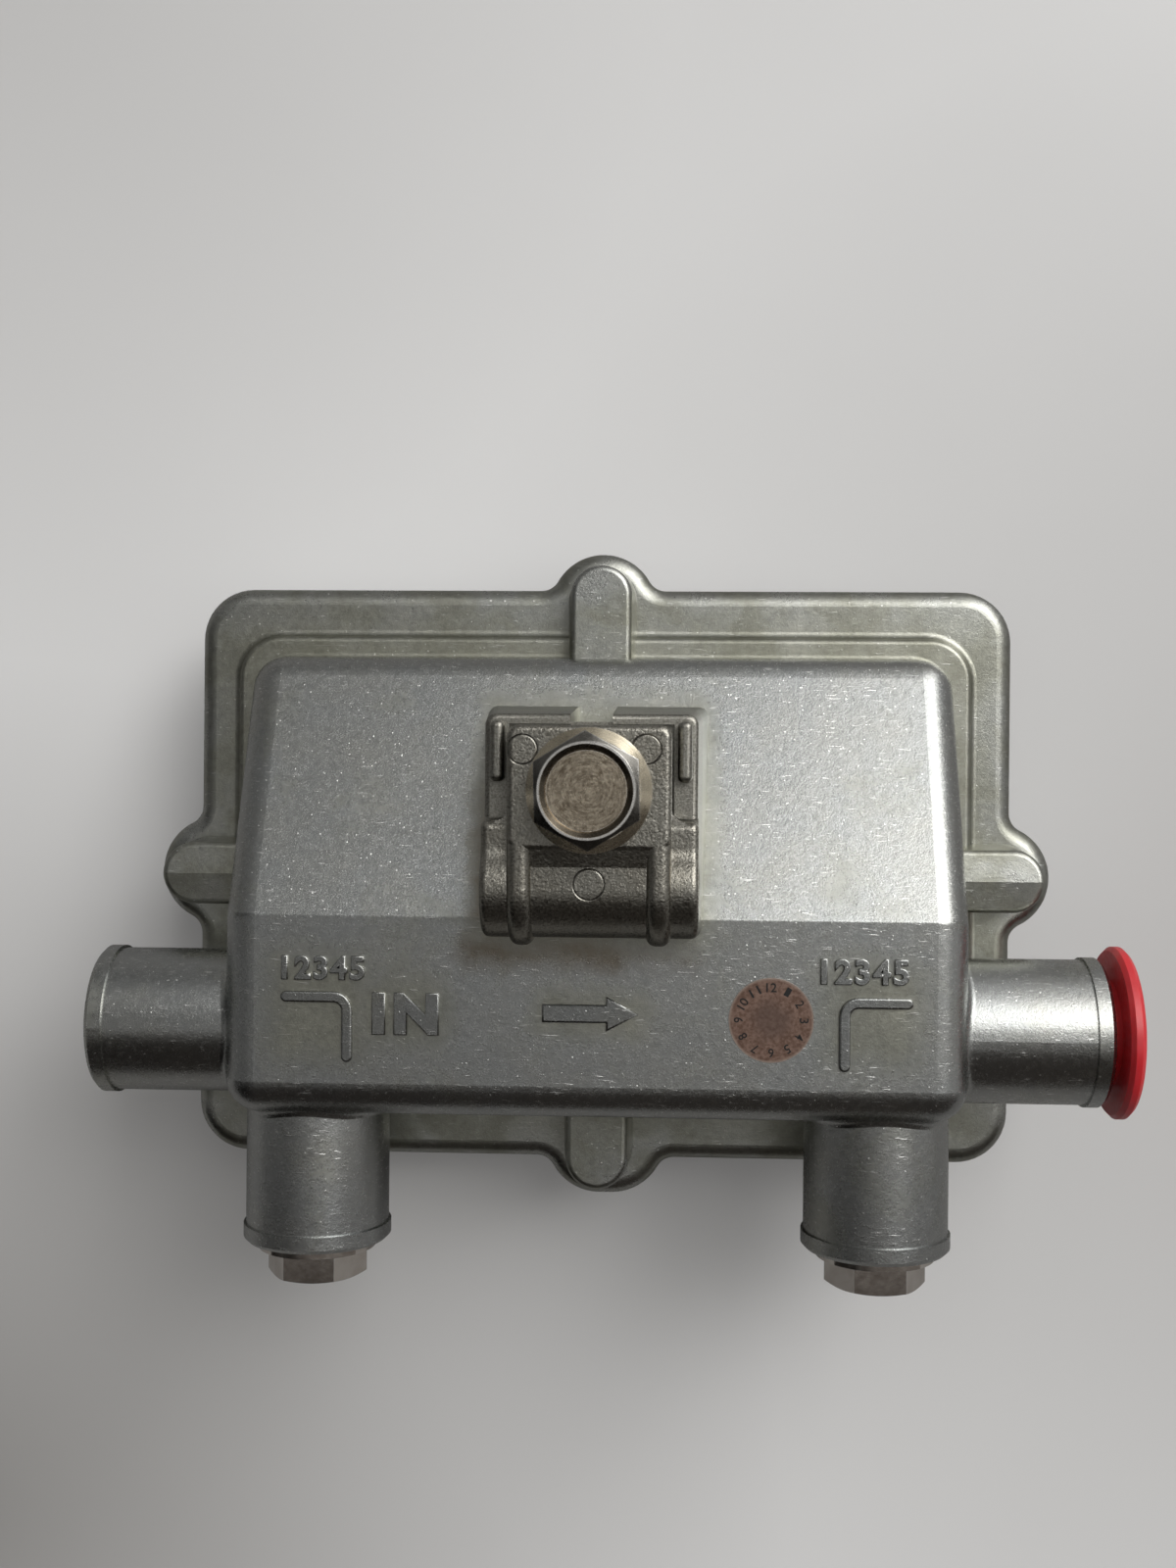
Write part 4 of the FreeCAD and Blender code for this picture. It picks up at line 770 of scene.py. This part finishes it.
def make_winding_tree():
    """A helix of round section about +Z, set down on each given point and turned."""
    tree = bpy.data.node_groups.new("helix_winding", "GeometryNodeTree")
    sockets = (("Radius", FLOAT, 0.005), ("Pitch", FLOAT, 0.001), ("Turns", FLOAT, 8.0),
               ("Thickness", FLOAT, 0.0005), ("Steps Per Turn", "NodeSocketInt", 36),
               ("Turn", VECTOR, (0.0, 0.0, 0.0)), ("Finish", "NodeSocketMaterial", None))
    tree.interface.new_socket(name="Points", in_out="INPUT", socket_type="NodeSocketGeometry")
    for label, kind, value in sockets:
        socket = tree.interface.new_socket(name=label, in_out="INPUT", socket_type=kind)
        if value is not None:
            socket.default_value = value
    tree.interface.new_socket(name="Windings", in_out="OUTPUT", socket_type="NodeSocketGeometry")
    given = tree.nodes.new("NodeGroupInput").outputs
    rise = maths(tree, "MULTIPLY", given["Pitch"], given["Turns"])
    helix = add(tree, "GeometryNodeCurveSpiral", {
        "Resolution": given["Steps Per Turn"], "Rotations": given["Turns"], "Start Radius": given["Radius"],
        "End Radius": given["Radius"], "Height": rise}).outputs[0]
    wire_radius = maths(tree, "MULTIPLY", given["Thickness"], 0.5)
    section = add(tree, "GeometryNodeCurvePrimitiveCircle", {"Resolution": 10, "Radius": wire_radius},
                  mode="RADIUS").outputs[0]
    swept = add(tree, "GeometryNodeCurveToMesh", {
        "Curve": helix, "Profile Curve": section, "Fill Caps": True}).outputs[0]
    smooth = add(tree, "GeometryNodeSetShadeSmooth", {"Geometry": swept}).outputs[0]
    placed = add(tree, "GeometryNodeInstanceOnPoints", {
        "Points": given["Points"], "Instance": smooth, "Rotation": given["Turn"]}).outputs[0]
    real = add(tree, "GeometryNodeRealizeInstances", {"Geometry": placed}).outputs[0]
    finished = add(tree, "GeometryNodeSetMaterial", {"Geometry": real, "Material": given["Finish"]})
    add(tree, "NodeGroupOutput", {"Windings": finished.outputs[0]})
    return tree


WINDING = make_winding_tree()


def windings(name, points, finish, slot, body="tap", **sizes):
    """Helices from the given points as one plain mesh with its faces outwards."""
    mesh = bpy.data.meshes.new(name + "_points")
    mesh.from_pydata([tuple(point) for point in points], [], [])
    maker = bpy.data.objects.new(name + "_maker", mesh)
    bpy.context.scene.collection.objects.link(maker)
    modifier = maker.modifiers.new("windings", "NODES")
    modifier.node_group = WINDING
    identifiers = {item.name: item.identifier for item in WINDING.interface.items_tree
                   if item.in_out == "INPUT"}
    for label, value in sizes.items():
        modifier[identifiers[label.replace("_", " ")]] = value
    modifier[identifiers["Finish"]] = finish
    bpy.context.view_layer.update()
    made = bpy.data.meshes.new_from_object(maker.evaluated_get(bpy.context.evaluated_depsgraph_get()))
    maker.modifiers.remove(modifier)
    bpy.data.objects.remove(maker)
    bpy.data.meshes.remove(mesh)
    made.name = name
    shell = bmesh.new()
    shell.from_mesh(made)
    if shell.calc_volume(signed=True) < 0:
        bmesh.ops.reverse_faces(shell, faces=shell.faces[:])
    shell.to_mesh(made)
    shell.free()
    return settle(name, made, finish, body)


ALONG_X = (0.0, math.pi / 2, 0.0)
tap_axes = []
for number in range(1, 5):
    low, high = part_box(f"tap_port_{number}")
    tap_axes.append(Vector(((low.x + high.x) / 2, (low.y + high.y) / 2, TAP_THREAD_START * MM)))
windings("tap_port_threads", tap_axes, NICKEL, "nickel", Radius=(TAP_THREAD_RADIUS - 0.13) * MM,
         Pitch=TAP_THREAD_PITCH * MM, Turns=TAP_THREAD_TURNS, Thickness=0.6 * MM)

port_mouth = Vector((housing_low.x + LEFT_PORT_THREAD_START * MM, side_port_y, port_axis))
windings("left_port_thread", [port_mouth], CAST_BODY, "cast_body", Radius=(PORT_THREAD_RADIUS + 0.2) * MM,
         Pitch=PORT_THREAD_PITCH * MM, Turns=PORT_THREAD_TURNS, Thickness=0.9 * MM, Turn=ALONG_X)

coil_low, coil_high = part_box("choke_coil")
coil_radius = (coil_high.z - coil_low.z) / 2
wire_half = COIL_WIRE * MM / 2
coil_start = Vector((coil_low.x + wire_half, (coil_low.y + coil_high.y) / 2, coil_low.z + coil_radius))
coil_length = coil_high.x - coil_low.x - COIL_WIRE * MM
coil = windings("choke_winding", [coil_start], WIRE, "copper_wire", Radius=coil_radius - wire_half,
                Pitch=coil_length / COIL_TURNS, Turns=COIL_TURNS, Thickness=COIL_WIRE * MM,
                Turn=ALONG_X)
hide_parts("choke_coil")


# Small numbers round the label

def number_ring():
    """Numbers printed round the label's rim, their feet towards its middle."""
    centre = (label_low + label_high) / 2
    radius = (label_high.x - label_low.x) / 2 - LABEL_NUMBER_INSET * MM
    count = 12
    for number in range(1, count + 1):
        angle = math.radians(90 - 360 * number / count)
        mesh = text_mesh(f"label_number_{number}", str(number), 1.25 * MM, 0.72 * MM * len(str(number)),
                         0.008 * MM, 0.0, embolden=0.012)
        across = [vertex.co.x for vertex in mesh.vertices]
        mesh.transform(Matrix.Translation((-(min(across) + max(across)) / 2, 0, 0)))
        mesh.transform(Matrix.Rotation(angle - math.pi / 2, 4, "Z") @ Matrix.Translation((0, radius, 0)))
        mesh.transform(Matrix.Translation((centre.x, centre.y, label_high.z + 0.01 * MM)))
        settle(f"label_number_{number}", mesh, INK)


number_ring()


# Floor, light and camera

CAMERA_PLACE = at(8.85, 14.445, 278.78 * MM)
CAMERA_TURNS = (0.081, -2.473, -0.500)
CAMERA_LENS = 37.39
ROOM_DARK, ROOM_MIDDLE, ROOM_PALE = 0.03, 0.25, 0.28
WINDOW_HIGH, WINDOW_LOW = 5.0, 2.6
SKY_LEVEL, WALL_LEVEL = 0.13, 0.26
# The second floor colour is the colour of the painted shade on the floor.
FLOOR_PALE, FLOOR_PAINTED_SHADE = (0.86, 0.855, 0.852), (0.27, 0.26, 0.25)
FLOOR_BOUNCE = (0.31, 0.305, 0.30)
FLOOR_GLOW = 0.10
# Painted shadows on the floor: place, where each starts and ends in millimetres from there, and strength
FLOOR_PAINTED_SHADOWS = (((-120, -110), 10, 150, 0.85), ((-120, 165), 10, 130, 0.3), ((125, -15), 20, 170, 0.36))


def make_floor():
    """A pale table, with painted shade towards three of the picture's edges."""
    mesh = bpy.data.meshes.new("floor")
    half = 3.0
    corners = [(-half, -half, 0), (half, -half, 0), (half, half, 0), (-half, half, 0)]
    mesh.from_pydata(corners, [], [(0, 1, 2, 3)])
    floor = bpy.data.objects.new("floor", mesh)
    bpy.context.scene.collection.objects.link(floor)
    material, tree, shader = new_material("pale_table", roughness=0.55)
    place = own_place(tree)
    soft = noise(tree, 9.0, 3.0)
    shade = remap(tree, soft, 0.3, 0.7, 0.0, 0.05)
    # Painted shade: each listed place darkens the floor around it, on top of a faint mottle of tone.
    for (x, y), near, far, share in FLOOR_PAINTED_SHADOWS:
        away = vectors(tree, "SUBTRACT", place, (x * MM, y * MM, 0.0))
        distance = vectors(tree, "LENGTH", away, output=1)
        dim = remap(tree, distance, near * MM, far * MM, share, 0.0)
        shade = maths(tree, "ADD", shade, dim)
    seen = add(tree, "ShaderNodeLightPath").outputs["Is Camera Ray"]
    pale = tint(tree, shade, FLOOR_PALE, FLOOR_PAINTED_SHADE)
    feed(tree, shader, tint(tree, seen, FLOOR_BOUNCE, pale), remap(tree, soft, 0.3, 0.7, 0.5, 0.6))
    glow = tint(tree, maths(tree, "MULTIPLY", seen, FLOOR_GLOW), (0.0, 0.0, 0.0), pale)
    tree.links.new(glow, shader.inputs["Emission Color"])
    shader.inputs["Emission Strength"].default_value = 1.0
    mesh.materials.append(material)


def make_world():
    """A room lit by a broad window to the right and back, dim to the left and dark to the front."""
    world = bpy.data.worlds.new("room")
    world.use_nodes = True
    tree = world.node_tree
    tree.nodes.clear()
    direction = add(tree, "ShaderNodeTexCoord").outputs["Generated"]
    across, back = add(tree, "ShaderNodeSeparateXYZ", {0: direction}).outputs[:2]

    def soft(value, low, high, to_low=0.0, to_high=1.0):
        inputs = {"Value": value, "From Min": low, "From Max": high, "To Min": to_low, "To Max": to_high}
        made = add(tree, "ShaderNodeMapRange", inputs, clamp=True, interpolation_type="SMOOTHSTEP")
        return made.outputs["Result"]

    room_level = maths(tree, "ADD", soft(across, -0.7, 0.1, ROOM_DARK, ROOM_MIDDLE),
                       soft(across, 0.2, 0.9, 0.0, ROOM_PALE - ROOM_MIDDLE))
    sky = maths(tree, "MULTIPLY", soft(back, 0.1, 0.45), soft(back, 0.95, 0.7))
    room_level = maths(tree, "MULTIPLY_ADD", sky, SKY_LEVEL, room_level)
    wall = maths(tree, "MULTIPLY", soft(back, -0.26, -0.17), soft(back, -0.03, -0.10))
    room_level = maths(tree, "MULTIPLY_ADD", wall, WALL_LEVEL, room_level)
    front = soft(back, -0.16, -0.34)
    room_level = maths(tree, "MULTIPLY", room_level, maths(tree, "MULTIPLY_ADD", front, -0.84, 1.0))
    low = soft(across, 0.28, 0.5, 0.0, WINDOW_LOW)
    low = maths(tree, "MULTIPLY", low, soft(back, 0.05, 0.4, 0.15, 1.0))
    high = soft(across, 0.08, 0.24, 0.0, WINDOW_HIGH)
    high = maths(tree, "MULTIPLY", high, soft(back, 0.12, 0.30, 0.03, 1.0))
    high = maths(tree, "MULTIPLY", high, soft(across, 0.30, 0.24, 0.6, 1.0))
    window = maths(tree, "ADD", high, low)
    window = maths(tree, "MULTIPLY", window, soft(across, 0.76, 0.62))
    window = maths(tree, "MULTIPLY", window, soft(back, -0.22, -0.08))
    window = maths(tree, "MULTIPLY", window, soft(back, 0.95, 0.42, 0.12, 1.0))
    level = maths(tree, "ADD", window, room_level)
    hue = tint(tree, front, (1.0, 0.995, 0.98), (1.0, 0.88, 0.80))
    room = add(tree, "ShaderNodeBackground", {"Color": hue, "Strength": level})
    pale = add(tree, "ShaderNodeBackground", {"Color": (0.85, 0.85, 0.86, 1), "Strength": 1.0})
    seen = add(tree, "ShaderNodeLightPath").outputs["Is Camera Ray"]
    both = add(tree, "ShaderNodeMixShader", {0: seen, 1: room.outputs[0], 2: pale.outputs[0]})
    add(tree, "ShaderNodeOutputWorld", {"Surface": both.outputs[0]})
    bpy.context.scene.world = world


def make_camera():
    """The photograph's camera, found from the outlines in it."""
    data = bpy.data.cameras.new("camera")
    data.sensor_fit = "VERTICAL"
    data.sensor_height = 36.0
    data.lens = CAMERA_LENS
    data.clip_start = 0.01
    camera = bpy.data.objects.new("camera", data)
    bpy.context.scene.collection.objects.link(camera)
    turn = Matrix.Identity(4)
    for degrees, axis in zip(CAMERA_TURNS, "XYZ"):
        turn = turn @ Matrix.Rotation(math.radians(-degrees), 4, axis)
    camera.matrix_world = Matrix.Translation(CAMERA_PLACE) @ turn
    bpy.context.scene.camera = camera


make_floor()
make_world()
make_camera()
bpy.context.scene.view_settings.view_transform = "Standard"
